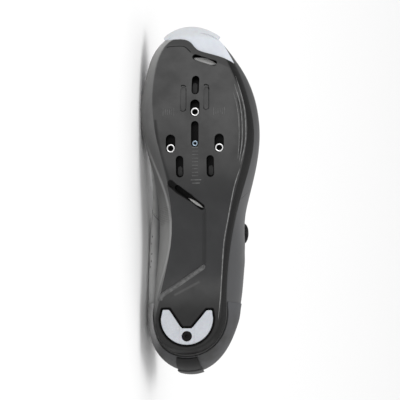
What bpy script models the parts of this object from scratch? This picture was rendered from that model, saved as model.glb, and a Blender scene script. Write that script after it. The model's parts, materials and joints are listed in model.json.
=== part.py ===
# A left road cycling shoe with a stiff plate sole, a white toe bumper and a lace dial.
# The shoe is modelled standing: x runs from heel to toe, y to the lateral side, z up.
# A last step lays it down on its medial side, where its sole edge and its upper both rest.

import math

import bmesh
import bpy
import numpy as np
from mathutils import Matrix, Vector

# Driving sizes, in metres
LENGTH = 0.285
BALL_WIDTH = 0.095
INSTEP_HEIGHT = 0.100
TOE_SPRING = 0.022
RIM_HEIGHT = 0.031
HEEL_BLOCK = 0.008

# Walls and clearances
GAP = 0.0003
LIFT = 0.00045
UPPER_WALL = 0.0018
SIDE_WALL = 0.0026
EDGE_BEVEL = 0.0008
BUMPER_WALL = 0.0020
BUMPER_STEP = 0.0020
COUNTER_WALL = 0.0011
STRIP_WALL = 0.0009
TAB_WALL = 0.0016
TONGUE_WALL = 0.0030
TONGUE_TUCK = 0.0012
INSOLE_THICKNESS = 0.0030
INSOLE_CLEARANCE = 0.0007
BACKING_THICKNESS = 0.0010

# Cleat fittings
SLOT_WIDTH = 0.0062
NUT_SLOT_WIDTH = 0.0078
NUT_RADIUS = 0.0035
NUT_BORE = 0.0021
NUT_RECESS = 0.0007
NUT_HEIGHT = 0.0036
GUIDE_NUT_RADIUS = 0.0024
GUIDE_NUT_BORE = 0.0010
CLEAT_CENTRE = 0.0056
CLEAT_HALF_SPAN = 0.0199
CLEAT_SPACING = 0.0297
CLEAT_REAR_SHARE = 0.6305
CLEAT_REAR_AT = CLEAT_REAR_SHARE * LENGTH
CLEAT_FRONT_AT = CLEAT_REAR_AT + CLEAT_SPACING
GUIDE_NUT_AHEAD = 0.0038
GROOVE_WIDTH = 0.0050
VENT_WIDTH = 0.0048
VENT_SEAM = 0.0015
WAIST_VENT_BEHIND = 0.0321
WAIST_VENT_RUN = 0.0154
MARK_DEPTH = 0.0005
WAIST_DEPTH = 0.0014

# Heel tread
TREAD_RADIUS = 0.0212
TREAD_CENTRE_AT = 0.0402
TREAD_THICKNESS = 0.0040
TREAD_MARGIN = 0.0013
SCREW_RADIUS = 0.0040
SCREW_SOCKET = 0.0016
SCREW_RECESS = 0.0006

# Lace dial and wire
DIAL_RADIUS = 0.0088
DIAL_BASE_RADIUS = 0.0098
DIAL_BASE_HEIGHT = 0.0030
DIAL_KNOB_HEIGHT = 0.0048
WIRE_RADIUS = 0.0006
WIRE_SPREAD = 0.0045
GUIDE_WALL = 0.0009
GUIDE_CHANNEL = 0.0020

# Densities in kilograms per cubic metre, by material
DENSITIES = {
    "sole_plastic": 1100,
    "white_rubber": 1200,
    "upper_microfibre": 900,
    "heel_microfibre": 900,
    "lining_fabric": 300,
    "black_plastic": 1100,
    "bright_steel": 7850,
    "vent_mesh": 300,
}

# Places on the upper, in rows round the shoe and in shares from the rim to the top edge
DIAL_U = 5.86
DIAL_T = 0.82
GUIDE_UPPER_MEDIAL = 6.48
GUIDE_UPPER_LATERAL = 7.35
GUIDE_LOWER_MEDIAL = 7.92
GUIDE_LOWER_LATERAL = 8.85
TONGUE_START = 5.0 + 1.0 / 3.0
BUMPER_TOP = 0.22
COUNTER_ROWS = 3.08
COUNTER_FRONT = 0.60
COUNTER_BACK = 0.74

STEPS = 3
PROFILE_STEPS = 8

# One row for each section from heel to toe. Columns ending in _m are medial, in _l lateral.
# flat and rim are half widths as shares of the ball width, at is a share of the length.
# bottom is a share of the toe spring, rise of the rim height, core of the heel block.
SOLE_TABLE = """
section      flat_at  rim_at  flat_m  flat_l   rim_m   rim_l  bottom  rise_m  rise_l   core
heel_end       0.055   0.045  -0.040  -0.040  -0.040  -0.040   0.045   0.640   0.640   0.86
heel_back      0.073   0.064  -0.205   0.150  -0.215   0.158   0.045   0.640   0.630   0.86
heel           0.122   0.120  -0.270   0.255  -0.308   0.285   0.045   0.650   0.620   0.86
heel_front     0.190   0.190  -0.246   0.276  -0.320   0.305   0.070   0.680   0.630   0.86
shank_back     0.280   0.280  -0.188   0.283  -0.306   0.312   0.270   0.860   0.680   0.72
shank          0.390   0.390  -0.138   0.314  -0.288   0.353   0.370   1.000   0.710   0.66
arch_front     0.500   0.500  -0.157   0.388  -0.297   0.434   0.220   0.860   0.610   0.66
ball_back      0.590   0.590  -0.214   0.465  -0.340   0.519   0.020   0.540   0.470   0.66
ball           0.680   0.680  -0.276   0.502  -0.409   0.554  -0.030   0.390   0.400   0.66
ball_front     0.765   0.765  -0.304   0.468  -0.424   0.511   0.040   0.400   0.400   0.66
toe_back       0.848   0.848  -0.294   0.368  -0.386   0.425   0.300   0.570   0.560   0.66
toe            0.905   0.908  -0.262   0.286  -0.342   0.332   0.600   0.760   0.750   0.66
toe_corner     0.945   0.958  -0.190   0.185  -0.240   0.225   0.850   0.920   0.910   0.66
toe_end        0.965   0.985  -0.035  -0.035  -0.035  -0.035   0.960   1.000   1.000   0.66
"""

# The upper's section curves: from the rim they leave outward by out and up by lift, and
# they reach the top edge from reach outside it and drop below it.
# top_y, out and reach are shares of the ball width, top_z, lift and drop of the instep height.
UPPER_TABLE = """
section      top_at_m  top_at_l  top_y_m  top_y_l  top_z_m  top_z_l
heel_end        0.034     0.034   -0.035   -0.035    0.880    0.880
heel_back       0.056     0.056   -0.170    0.108    0.855    0.850
heel            0.118     0.118   -0.276    0.232    0.790    0.775
heel_front      0.198     0.198   -0.318    0.316    0.735    0.705
shank_back      0.294     0.292   -0.325    0.350    0.745    0.700
shank           0.376     0.376   -0.270    0.312    0.870    0.835
arch_front      0.430     0.436   -0.140    0.185    1.000    0.985
ball_back       0.492     0.500   -0.132    0.190    0.910    0.895
ball            0.555     0.562   -0.112    0.180    0.815    0.800
ball_front      0.606     0.611   -0.080    0.152    0.742    0.732
toe_back        0.636     0.639   -0.036    0.108    0.700    0.696
toe             0.648     0.650    0.004    0.072    0.683    0.681
toe_corner      0.653     0.654    0.024    0.050    0.676    0.676
toe_end         0.655     0.655    0.037    0.037    0.674    0.674
"""

CURVE_TABLE = """
section      out_m  out_l  lift_m  lift_l  reach_m  reach_l  drop_m  drop_l
heel_end     0.136  0.136   0.080   0.080    0.070    0.070   0.280   0.280
heel_back    0.130  0.112   0.080   0.080    0.100    0.080   0.280   0.280
heel         0.112  0.082   0.100   0.110    0.096    0.102   0.250   0.250
heel_front   0.136  0.118   0.110   0.130    0.066    0.104   0.200   0.190
shank_back   0.150  0.140   0.110   0.140    0.096    0.098   0.180   0.180
shank        0.172  0.112   0.130   0.170    0.180    0.140   0.160   0.180
arch_front   0.166  0.056   0.190   0.230    0.272    0.232   0.130   0.140
ball_back    0.072  0.066   0.190   0.210    0.220    0.270   0.110   0.130
ball         0.018  0.124   0.170   0.190    0.205    0.290   0.090   0.110
ball_front   0.012  0.200   0.160   0.170    0.215    0.270   0.080   0.090
toe_back     0.020  0.202   0.160   0.160    0.265    0.300   0.070   0.075
toe          0.050  0.140   0.160   0.160    0.350   0.370   0.070   0.070
toe_corner   0.120  0.080   0.160   0.160    0.470    0.460   0.075   0.075
toe_end      0.175  0.175   0.150   0.150    0.560    0.560   0.080   0.080
"""

# Where the sole ends against the bumper: shares of the length and of the ball width
FRONT_EDGE = (
    (0.956, -0.600), (0.956, -0.205), (0.956, -0.075), (0.947, -0.010), (0.930, 0.034),
    (0.918, 0.085), (0.901, 0.245), (0.888, 0.335), (0.868, 0.460), (0.850, 0.600),
)

# The bumper's wrap over the toe: rows from the toe's end, lateral side first, and shares of
# its full height
BUMPER_WRAP = ((-1.0, 0.0), (-0.8, 0.85), (-0.6, 1.0), (0.3, 1.0), (0.7, 0.6), (1.0, 0.0))

# The recessed panel under the waist: shares of the length and of the ball width
WAIST_PANEL = (
    (0.530, -0.330), (0.519, -0.100), (0.461, 0.128), (0.440, 0.139), (0.306, 0.139),
    (0.288, 0.120), (0.236, -0.105), (0.210, -0.225), (0.192, -0.262), (0.185, -0.400),
)

# Slots through the plate: a line across the cleat, the slot's nose and tail ahead of that line
# in metres, its place across as a share of the cleat's half span, and its width
SLOTS = (
    ("centre_slot_front", CLEAT_FRONT_AT, 0.0305, 0.0145, 0.0, SLOT_WIDTH),
    ("centre_slot_nut", CLEAT_FRONT_AT, 0.0103, -NUT_SLOT_WIDTH / 2, 0.0, NUT_SLOT_WIDTH),
    ("centre_slot_rear", CLEAT_REAR_AT, 0.0221, GUIDE_NUT_AHEAD - SLOT_WIDTH / 2, 0.0, SLOT_WIDTH),
    ("medial_nut_slot", CLEAT_REAR_AT, 0.0114, -NUT_SLOT_WIDTH / 2, -1.0, NUT_SLOT_WIDTH),
    ("lateral_nut_slot", CLEAT_REAR_AT, 0.0114, -NUT_SLOT_WIDTH / 2, 1.0, NUT_SLOT_WIDTH),
    ("medial_rear_slot", CLEAT_REAR_AT, -0.0062, -0.0238, -0.63, SLOT_WIDTH),
    ("lateral_rear_slot", CLEAT_REAR_AT, -0.0062, -0.0238, 0.63, SLOT_WIDTH),
)

# Shallow outlines ahead of the cleat, in the same columns
GROOVES = (
    ("groove_medial", CLEAT_FRONT_AT, 0.0209, 0.0009, -0.48, GROOVE_WIDTH),
    ("groove_lateral", CLEAT_FRONT_AT, 0.0209, 0.0009, 0.48, GROOVE_WIDTH),
)

# The plate behind the slots: metres ahead of the cleat's line, and half widths
NUT_PLATE = (
    (CLEAT_REAR_AT, -0.0260, 0.0187),
    (CLEAT_REAR_AT, -0.0110, 0.0187),
    (CLEAT_REAR_AT, -0.0060, 0.0265),
    (CLEAT_REAR_AT, 0.0180, 0.0265),
    (CLEAT_FRONT_AT, 0.0010, 0.0109),
    (CLEAT_FRONT_AT, 0.0325, 0.0109),
)

# The tread's inner notch, from its lateral horn to its medial one: metres from its centre
TREAD_NOTCH = (
    (0.0066, 0.0203), (0.0066, 0.0162), (-0.0062, 0.0056), (-0.0079, 0.0038),
    (-0.0079, -0.0038), (-0.0062, -0.0056), (0.0074, -0.0146), (0.0074, -0.0197),
)


def table(text):
    """Rows of a text table as {row name: {column name: number}}."""
    lines = [line.split() for line in text.strip().splitlines()]
    columns = lines[0][1:]
    return {line[0]: dict(zip(columns, map(float, line[1:]))) for line in lines[1:]}


SOLE = table(SOLE_TABLE)
TOPS = table(UPPER_TABLE)
CURVES = table(CURVE_TABLE)
ROWS = list(SOLE)
LAST_ROW = len(ROWS) - 1
AROUND = 2 * LAST_ROW
SAMPLES = AROUND * STEPS
TOE_SAMPLE = LAST_ROW * STEPS


class ClosedSpline:
    """A smooth closed curve through its points; whole parameters are the points."""

    def __init__(self, points, spans=None):
        self.points = np.asarray(points, float)
        after = np.roll(self.points, -1, axis=0)
        if spans is None:
            spans = np.linalg.norm(after - self.points, axis=1)
        self.spans = spans
        count = len(self.points)
        before = np.roll(spans, 1)
        system = np.zeros((count, count))
        for i in range(count):
            system[i, i - 1] += before[i]
            system[i, i] += 2 * (before[i] + spans[i])
            system[i, (i + 1) % count] += spans[i]
        slope = (after - self.points) / spans[:, None]
        self.bend = np.linalg.solve(system, 6 * (slope - np.roll(slope, 1, axis=0)))

    def __call__(self, u):
        u = np.asarray(u, float)
        whole = np.floor(u)
        first = whole.astype(int) % len(self.points)
        second = (first + 1) % len(self.points)
        span = self.spans[first][..., None]
        run = (u - whole)[..., None] * span
        rest = span - run
        curve = self.bend[first] * rest**3 + self.bend[second] * run**3
        line = (self.points[first] / span - self.bend[first] * span / 6) * rest
        line += (self.points[second] / span - self.bend[second] * span / 6) * run
        return curve / (6 * span) + line


def around(lateral, medial):
    """Values for a closed ring: heel end, lateral rows, toe end, then medial rows back."""
    there = [lateral(name) for name in ROWS]
    back = [medial(name) for name in reversed(ROWS[1:-1])]
    return there + back


def bottom_height(name):
    return SOLE[name]["bottom"] * TOE_SPRING


def plate_height(name):
    return bottom_height(name) + SOLE[name]["core"] * HEEL_BLOCK


def flat_point(side, lift):
    def point(name):
        row = SOLE[name]
        return (row["flat_at"] * LENGTH, row["flat" + side] * BALL_WIDTH, bottom_height(name) + lift)
    return point


def rim_point(side):
    def point(name):
        row = SOLE[name]
        return (row["rim_at"] * LENGTH, row["rim" + side] * BALL_WIDTH, row["rise" + side] * RIM_HEIGHT)
    return point


RIM = ClosedSpline(around(rim_point("_l"), rim_point("_m")))
PLATE_Z = ClosedSpline([[plate_height(name)] for name in around(str, str)], RIM.spans)


def outward(u):
    """The rim's outward direction in plan."""
    step = 0.02
    along = RIM(np.asarray(u) + step) - RIM(np.asarray(u) - step)
    out = np.stack([along[..., 1], -along[..., 0], np.zeros(along.shape[:-1])], axis=-1)
    return -out / np.linalg.norm(out, axis=-1, keepdims=True)


def raised(points, amount):
    return points + np.array([0.0, 0.0, amount])


def sole_rings(bottom_raise):
    """The sole's rings, from its flat's edge up the side wall, over the rim and down inside."""
    u = np.arange(SAMPLES) / STEPS
    out = outward(u)
    flat = ClosedSpline(around(flat_point("_l", bottom_raise), flat_point("_m", bottom_raise)))(u)
    rim = raised(RIM(u), -EDGE_BEVEL)
    edge = raised(flat + out * EDGE_BEVEL, EDGE_BEVEL * 0.6)
    middle = (edge + rim) / 2 + out * EDGE_BEVEL
    top_outer = RIM(u) - out * EDGE_BEVEL * 0.6
    top_inner = RIM(u) - out * SIDE_WALL
    deep = ((RIM(u)[:, 2] - PLATE_Z(u)[:, 0]) / (RIM(u)[:, 2] - flat[:, 2]))[:, None]
    inner = RIM(u) + (flat - RIM(u)) * deep - out * SIDE_WALL
    inner[:, 2] = PLATE_Z(u)[:, 0]
    return [flat, edge, middle, rim, top_outer, top_inner, inner]


def seat(u):
    """Where the upper's outer face starts, on the rim."""
    return raised(RIM(u) - outward(u) * EDGE_BEVEL * 0.6, GAP)


def top_point(side):
    def point(name):
        row = TOPS[name]
        return (
            row["top_at" + side] * LENGTH,
            row["top_y" + side] * BALL_WIDTH,
            row["top_z" + side] * INSTEP_HEIGHT,
        )
    return point


def curve_values(side):
    def values(name):
        row = CURVES[name]
        return (
            row["out" + side] * BALL_WIDTH,
            row["lift" + side] * INSTEP_HEIGHT,
            row["reach" + side] * BALL_WIDTH,
            row["drop" + side] * INSTEP_HEIGHT,
        )
    return values


TOP_EDGE = ClosedSpline(around(top_point("_l"), top_point("_m")))
CURVE = ClosedSpline(around(curve_values("_l"), curve_values("_m")), RIM.spans)


def upper_point(u, t):
    """The upper's outer face: u runs round the shoe in rows, t from the rim to the top edge."""
    u, t = np.broadcast_arrays(np.asarray(u, float), np.asarray(t, float))
    start, end, out, shape = seat(u), TOP_EDGE(u), outward(u), CURVE(u)
    first = raised(start + out * shape[..., 0:1], 0)
    first[..., 2] += shape[..., 1]
    second = end + out * shape[..., 2:3]
    second[..., 2] -= shape[..., 3]
    t = t[..., None]
    s = 1 - t
    return start * s**3 + first * 3 * s**2 * t + second * 3 * s * t**2 + end * t**3


def upper_normal(u, t):
    step = 0.01
    along = upper_point(np.asarray(u) + step, t) - upper_point(np.asarray(u) - step, t)
    up = upper_point(u, np.asarray(t) + step) - upper_point(u, np.asarray(t) - step)
    normal = np.cross(up, along)
    return normal / np.linalg.norm(normal, axis=-1, keepdims=True)


def off_upper(u, t, lift):
    return upper_point(u, t) + upper_normal(u, t) * lift


def clear_scene():
    for obj in list(bpy.data.objects):
        bpy.data.objects.remove(obj, do_unlink=True)
    for name in ("cycling_shoe", "cutters"):
        collection = bpy.data.collections.new(name)
        bpy.context.scene.collection.children.link(collection)


def material(name, colour, roughness, metallic=0.0):
    made = bpy.data.materials.new(name)
    made.use_nodes = True
    shader = made.node_tree.nodes["Principled BSDF"]
    shader.inputs["Base Color"].default_value = (*colour, 1.0)
    shader.inputs["Roughness"].default_value = roughness
    shader.inputs["Metallic"].default_value = metallic
    return made


def add_object(name, mesh, paint=None, is_cutter=False):
    obj = bpy.data.objects.new(name, mesh)
    bpy.data.collections["cutters" if is_cutter else "cycling_shoe"].objects.link(obj)
    if is_cutter:
        obj.hide_render = True
        obj.display_type = "WIRE"
    elif paint:
        obj.data.materials.append(paint)
        if obj.type == "MESH":
            obj.data.shade_smooth()
            obj.data.set_sharp_from_angle(angle=math.radians(35))
    return obj


def mesh_from(name, points, faces, closed=True):
    mesh = bpy.data.meshes.new(name)
    mesh.from_pydata([tuple(map(float, point)) for point in points], [], faces)
    work = bmesh.new()
    work.from_mesh(mesh)
    if closed:
        bmesh.ops.recalc_face_normals(work, faces=work.faces)
    work.to_mesh(mesh)
    work.free()
    return mesh


def ladder(ring_start):
    """Faces that close a ring: rungs between each lateral point and its medial partner."""
    faces = [(ring_start, ring_start + 1, ring_start + SAMPLES - 1)]
    for k in range(1, TOE_SAMPLE - 1):
        medial, next_medial = SAMPLES - k, SAMPLES - k - 1
        faces.append((ring_start + k, ring_start + k + 1, ring_start + next_medial, ring_start + medial))
    faces.append((ring_start + TOE_SAMPLE - 1, ring_start + TOE_SAMPLE, ring_start + TOE_SAMPLE + 1))
    return faces


def rings_mesh(name, rings):
    points = np.concatenate(rings)
    faces = [tuple(reversed(face)) for face in ladder(0)]
    for level in range(len(rings) - 1):
        low, high = level * SAMPLES, (level + 1) * SAMPLES
        for k in range(SAMPLES):
            after = (k + 1) % SAMPLES
            faces.append((low + k, low + after, high + after, high + k))
    faces += ladder((len(rings) - 1) * SAMPLES)
    return mesh_from(name, points, faces)


def prism(name, outline, low, high, paint=None, is_cutter=True):
    """An upright prism over a plan outline."""
    count = len(outline)
    points = [(x, y, low) for x, y in outline] + [(x, y, high) for x, y in outline]
    faces = [tuple(range(count)), tuple(range(count, 2 * count))]
    for k in range(count):
        after = (k + 1) % count
        faces.append((k, after, count + after, count + k))
    return add_object(name, mesh_from(name, points, faces), paint, is_cutter)


def slab(name, heights, low, high):
    """A cutter that follows a line of (x, z) heights all across the shoe."""
    line = [(-0.1 * LENGTH, heights[0][1])] + list(heights) + [(1.1 * LENGTH, heights[-1][1])]
    section = [(x, z + low) for x, z in line] + [(x, z + high) for x, z in reversed(line)]
    count = len(section)
    points = [(x, side * BALL_WIDTH, z) for side in (-1, 1) for x, z in section]
    faces = [tuple(range(count)), tuple(range(count, 2 * count))]
    for k in range(count):
        after = (k + 1) % count
        faces.append((k, after, count + after, count + k))
    return add_object(name, mesh_from(name, points, faces), is_cutter=True)


def shares(points):
    return [(x * LENGTH, y * BALL_WIDTH) for x, y in points]


def smooth_line(points, steps=4):
    """A rounded line through points in plan, kept inside each stretch."""
    points = [np.array(point) for point in points]
    points = [2 * points[0] - points[1]] + points + [2 * points[-1] - points[-2]]
    line = []
    for before, start, end, after in zip(points, points[1:], points[2:], points[3:]):
        for k in range(steps):
            t = k / steps
            a = 2 * start + (end - before) * t
            b = (2 * before - 5 * start + 4 * end - after) * t**2
            c = (3 * start - before - 3 * end + after) * t**3
            line.append(tuple((a + b + c) / 2))
    return line + [tuple(points[-2])]


def capsule(start, end, width, steps=8):
    """A slot's outline with round ends between two centres."""
    start, end = Vector(start), Vector(end)
    heading = math.atan2(end.y - start.y, end.x - start.x)
    outline = []
    for centre, turn in ((start, math.pi / 2), (end, -math.pi / 2)):
        for k in range(steps + 1):
            angle = heading + turn + math.pi * k / steps
            outline.append((centre.x + math.cos(angle) * width / 2, centre.y + math.sin(angle) * width / 2))
    return outline


def circle(centre, radius, steps=24):
    turns = [2 * math.pi * k / steps for k in range(steps)]
    return [(centre[0] + radius * math.cos(a), centre[1] + radius * math.sin(a)) for a in turns]


def widened(outline, amount):
    """An outline moved outward by an amount, with mitred corners."""
    points = [Vector(point) for point in outline]
    area = sum(a.x * b.y - b.x * a.y for a, b in zip(points, points[1:] + points[:1]))
    turn = 1 if area > 0 else -1
    moved = []
    for k, point in enumerate(points):
        before = (point - points[k - 1]).normalized()
        after = (points[(k + 1) % len(points)] - point).normalized()
        first = Vector((before.y, -before.x)) * turn
        second = Vector((after.y, -after.x)) * turn
        mitre = (first + second).normalized()
        moved.append(tuple(point + mitre * amount / max(0.4, mitre.dot(first))))
    return moved


def boolean(obj, other, operation="DIFFERENCE"):
    cut = obj.modifiers.new(other.name, "BOOLEAN")
    cut.operation = operation
    cut.object = other
    cut.solver = "EXACT"
    return cut


def cylinder(name, radius, low, high, centre, paint=None, is_cutter=True, steps=24):
    return prism(name, circle(centre, radius, steps), low, high, paint, is_cutter)


DEEP = 0.05


def height_line(ring):
    """A ring's heights along the shoe, halfway between its two sides."""
    partners = -np.arange(TOE_SAMPLE + 1) % SAMPLES
    middle = (ring[: TOE_SAMPLE + 1] + ring[partners]) / 2
    return [(x, z) for x, y, z in middle]


def bottom_line():
    return height_line(sole_rings(0)[0])


def plate_line():
    return height_line(sole_rings(0)[-1])


def slot_outline(line, nose, tail, across, width):
    """A slot or groove's plan outline from its row of values."""
    y = CLEAT_CENTRE + across * CLEAT_HALF_SPAN
    return capsule((line + nose - width / 2, y), (line + tail + width / 2, y), width)


def vent_plan():
    """Each vent's name and its two end centres: one from the front edge, one from the cleat."""
    waist = CLEAT_REAR_AT - WAIST_VENT_BEHIND
    return [
        ("front", (0.900 * LENGTH, 0.045 * BALL_WIDTH), (0.880 * LENGTH, 0.212 * BALL_WIDTH)),
        ("waist", (waist, -0.095 * BALL_WIDTH), (waist - WAIST_VENT_RUN, 0.110 * BALL_WIDTH)),
    ]


def front_outline(shift):
    """The plan area ahead of the sole's front edge, moved forward by a shift."""
    edge = smooth_line(shares(FRONT_EDGE))
    far = LENGTH * 1.2
    moved = [(x + shift, y) for x, y in edge]
    return moved + [(far, edge[-1][1]), (far, edge[0][1])]


def tread_middle():
    return SOLE["heel_end"]["flat_m"] * BALL_WIDTH * 0.25


def tread_outline():
    centre_y = tread_middle()
    notch = [(TREAD_CENTRE_AT + x, centre_y + y) for x, y in reversed(TREAD_NOTCH)]
    arc = []
    for k in range(21):
        angle = math.radians(90 + 180 * k / 20)
        across = centre_y + TREAD_RADIUS * math.sin(angle)
        arc.append((TREAD_CENTRE_AT + TREAD_RADIUS * math.cos(angle), across))
    return arc + notch


def make_outsole(paint):
    obj = add_object("outsole", rings_mesh("outsole", sole_rings(0)), paint)
    floor = -0.02 * LENGTH
    boolean(obj, prism("ground_plane", [(-1, -1), (1, -1), (1, 1), (-1, 1)], -0.1, 0))
    boolean(obj, prism("front_cut", front_outline(0), floor, DEEP))
    panel = prism("waist_panel", smooth_line(shares(WAIST_PANEL), 3), floor, DEEP)
    boolean(panel, slab("waist_skin", bottom_line(), -DEEP, WAIST_DEPTH), "INTERSECT")
    boolean(obj, panel)
    for name, *row in SLOTS:
        boolean(obj, prism(name, slot_outline(*row), floor, DEEP))
    for name, start, end in vent_plan():
        boolean(obj, prism("vent_" + name, capsule(start, end, VENT_WIDTH), floor, DEEP))
    recess = widened(tread_outline(), TREAD_MARGIN)
    boolean(obj, prism("tread_recess", recess, floor, TREAD_THICKNESS + GAP))
    for name, *row in GROOVES:
        mark = prism(name, slot_outline(*row), floor, DEEP)
        boolean(mark, slab(name + "_skin", bottom_line(), -DEEP, MARK_DEPTH), "INTERSECT")
        boolean(obj, mark)
    return obj


def make_bumper(paint):
    obj = add_object("toe_bumper", rings_mesh("toe_bumper", sole_rings(BUMPER_STEP)), paint)
    rows, heights = np.array(BUMPER_WRAP).T
    places = np.linspace(rows[0], rows[-1], 19)
    high = BUMPER_TOP * np.interp(places, rows, heights) + 0.005
    wrap = patch("bumper_wrap", LAST_ROW + places, -0.05, high, 6, LIFT, BUMPER_WALL)
    boolean(obj, wrap, "UNION")
    boolean(obj, prism("bumper_area", front_outline(GAP), -DEEP, 2 * DEEP), "INTERSECT")
    return obj


def grid_faces(rows, columns):
    return [
        (r * columns + c, r * columns + c + 1, (r + 1) * columns + c + 1, (r + 1) * columns + c)
        for r in range(rows - 1)
        for c in range(columns - 1)
    ]


def patch(name, u, low, high, columns, lift, wall, paint=None):
    """A raised panel that follows the upper over a run of rows, from low to high."""
    low = np.broadcast_to(low, u.shape)
    high = np.broadcast_to(high, u.shape)
    share = np.linspace(0, 1, columns)
    t = low[:, None] + (high - low)[:, None] * share[None, :]
    points = off_upper(np.repeat(u[:, None], columns, axis=1), t, lift).reshape(-1, 3)
    mesh = mesh_from(name, points, grid_faces(len(u), columns), closed=False)
    obj = add_object(name, mesh, paint, is_cutter=paint is None)
    thick = obj.modifiers.new("wall", "SOLIDIFY")
    thick.thickness = wall
    thick.offset = 1
    return obj


def make_upper(paint):
    u = np.arange(SAMPLES) / STEPS
    t = np.linspace(0, 1, PROFILE_STEPS + 1)
    points = upper_point(u[:, None], t[None, :]).reshape(-1, 3)
    columns = PROFILE_STEPS + 1
    faces = grid_faces(SAMPLES, columns)
    last = (SAMPLES - 1) * columns
    faces += [(last + c, last + c + 1, c + 1, c) for c in range(columns - 1)]
    obj = add_object("upper", mesh_from("upper", points, faces, closed=False), paint)
    wall = obj.modifiers.new("wall", "SOLIDIFY")
    wall.thickness = UPPER_WALL
    wall.offset = -1
    return obj


def make_tread(paint):
    outline = tread_outline()
    obj = prism("heel_tread", outline, 0, TREAD_THICKNESS, paint, is_cutter=False)
    edge = obj.modifiers.new("edge", "BEVEL")
    edge.width = 0.0005
    edge.segments = 1
    edge.limit_method = "ANGLE"
    edge.angle_limit = math.radians(50)
    hole = cylinder("tread_hole", SCREW_RADIUS + GAP, -DEEP, DEEP, screw_centre())
    boolean(obj, hole)


def screw_centre():
    return (TREAD_CENTRE_AT - TREAD_RADIUS * 0.68, tread_middle())


def make_screw(paint):
    middle = screw_centre()
    obj = cylinder("heel_screw", SCREW_RADIUS, SCREW_RECESS, TREAD_THICKNESS, middle, paint, False)
    socket = cylinder("screw_socket", SCREW_SOCKET, -DEEP, SCREW_RECESS + SCREW_SOCKET, middle, steps=6)
    boolean(obj, socket)


def make_nut(name, centre, radius, bore, paint):
    obj = cylinder(name, radius, NUT_RECESS, NUT_RECESS + NUT_HEIGHT, centre, paint, False)
    boolean(obj, cylinder(name + "_bore", bore, -DEEP, DEEP, centre, steps=16))


def backing(name, outline, paint):
    """A thin sheet on the plate's inner face."""
    obj = prism(name, outline, -DEEP, DEEP, paint, is_cutter=False)
    boolean(obj, slab(name + "_skin", plate_line(), LIFT, LIFT + BACKING_THICKNESS), "INTERSECT")


def nut_plate_outline():
    right = [(line + ahead, CLEAT_CENTRE + half) for line, ahead, half in NUT_PLATE]
    return right + [(line + ahead, CLEAT_CENTRE - half) for line, ahead, half in reversed(NUT_PLATE)]


def make_insole(paint):
    u = np.arange(SAMPLES) / STEPS
    inner = sole_rings(0)[-1] - outward(u) * INSOLE_CLEARANCE
    low = LIFT + GAP + BACKING_THICKNESS
    rings = [raised(inner, low), raised(inner, low + INSOLE_THICKNESS)]
    add_object("insole", rings_mesh("insole", rings), paint)


def make_heel_panels(counter_paint, strip_paint, tab_paint):
    u = np.linspace(-COUNTER_ROWS, COUNTER_ROWS, 23)
    high = COUNTER_FRONT + (COUNTER_BACK - COUNTER_FRONT) * (1 - (u / COUNTER_ROWS) ** 2)
    patch("heel_counter", u, 0.035, high, 7, LIFT, COUNTER_WALL, counter_paint)
    lift = 2 * LIFT + COUNTER_WALL
    patch("heel_strip", np.linspace(-0.42, 0.42, 7), 0.05, 0.375, 7, lift, STRIP_WALL, strip_paint)
    patch("heel_tab", np.linspace(-0.44, 0.44, 7), 0.395, 0.62, 6, lift, TAB_WALL, tab_paint)


def under_upper(u, t):
    """The tongue's outer face where the throat's edges cover it."""
    return off_upper(u, t, -(UPPER_WALL + TONGUE_TUCK))


def over_throat(u_lateral, u_medial, share):
    """The tongue's outer face between the throat's edges, from lateral 0 to medial 1."""
    ends = []
    for u in (u_lateral, u_medial):
        edge = under_upper(u, 1.0)
        rise = edge - under_upper(u, 0.95)
        ends.append((edge, rise / np.linalg.norm(rise)))
    (start, first), (end, second) = ends
    arm = 0.32 * np.linalg.norm(end - start)
    t = np.asarray(share, float)[..., None]
    s = 1 - t
    middle = (start + first * arm) * 3 * s**2 * t + (end + second * arm) * 3 * s * t**2
    return start * s**3 + middle + end * t**3


def make_tongue(paint):
    tucks = [0.8, 0.9]
    bridge = np.linspace(0, 1, 6)
    sections = []
    first = TONGUE_START * STEPS
    for k in range(round(first), TOE_SAMPLE):
        u = k / STEPS
        lateral = [under_upper(u, t) for t in tucks]
        medial = [under_upper(AROUND - u, t) for t in reversed(tucks)]
        sections.append(np.array(lateral + list(over_throat(u, AROUND - u, bridge)) + medial))
    tops = []
    middle = sections[0].mean(axis=0)
    for back, up, narrow in ((0.010, 0.017, 0.52), (0.0050, 0.0085, 0.70)):
        shift = np.array([-back, 0, up])
        tops.append((sections[0] - middle) * np.array([1, narrow, 0.9]) + middle + shift)
    sections = tops + sections
    columns = sections[0].shape[0]
    points = np.concatenate(sections)
    faces = grid_faces(len(sections), columns)
    tip = [under_upper(LAST_ROW, t) for t in tucks + [1.0]]
    base = len(points)
    points = np.concatenate([points, tip])
    last = (len(sections) - 1) * columns
    faces += [(last, last + 1, base + 1, base), (last + 1, last + 2, base + 2, base + 1)]
    for c in range(2, columns - 3):
        faces.append((last + c, last + c + 1, base + 2))
    faces += [(last + columns - 3, last + columns - 2, base + 1, base + 2)]
    faces += [(last + columns - 2, last + columns - 1, base, base + 1)]
    obj = add_object("tongue", mesh_from("tongue", points, faces, closed=False), paint)
    wall = obj.modifiers.new("wall", "SOLIDIFY")
    wall.thickness = TONGUE_WALL
    wall.offset = -1


def upper_matrix(u, t, lift):
    """A frame on the upper: its z leaves the surface and its x runs toward the toe."""
    normal = Vector(upper_normal(u, t))
    along = Vector(upper_point(u + 0.05, t) - upper_point(u - 0.05, t))
    along = (along - along.dot(normal) * normal).normalized()
    turn = Matrix((along, normal.cross(along), normal)).transposed().to_4x4()
    turn.translation = Vector(off_upper(u, t, lift))
    return turn


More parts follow.
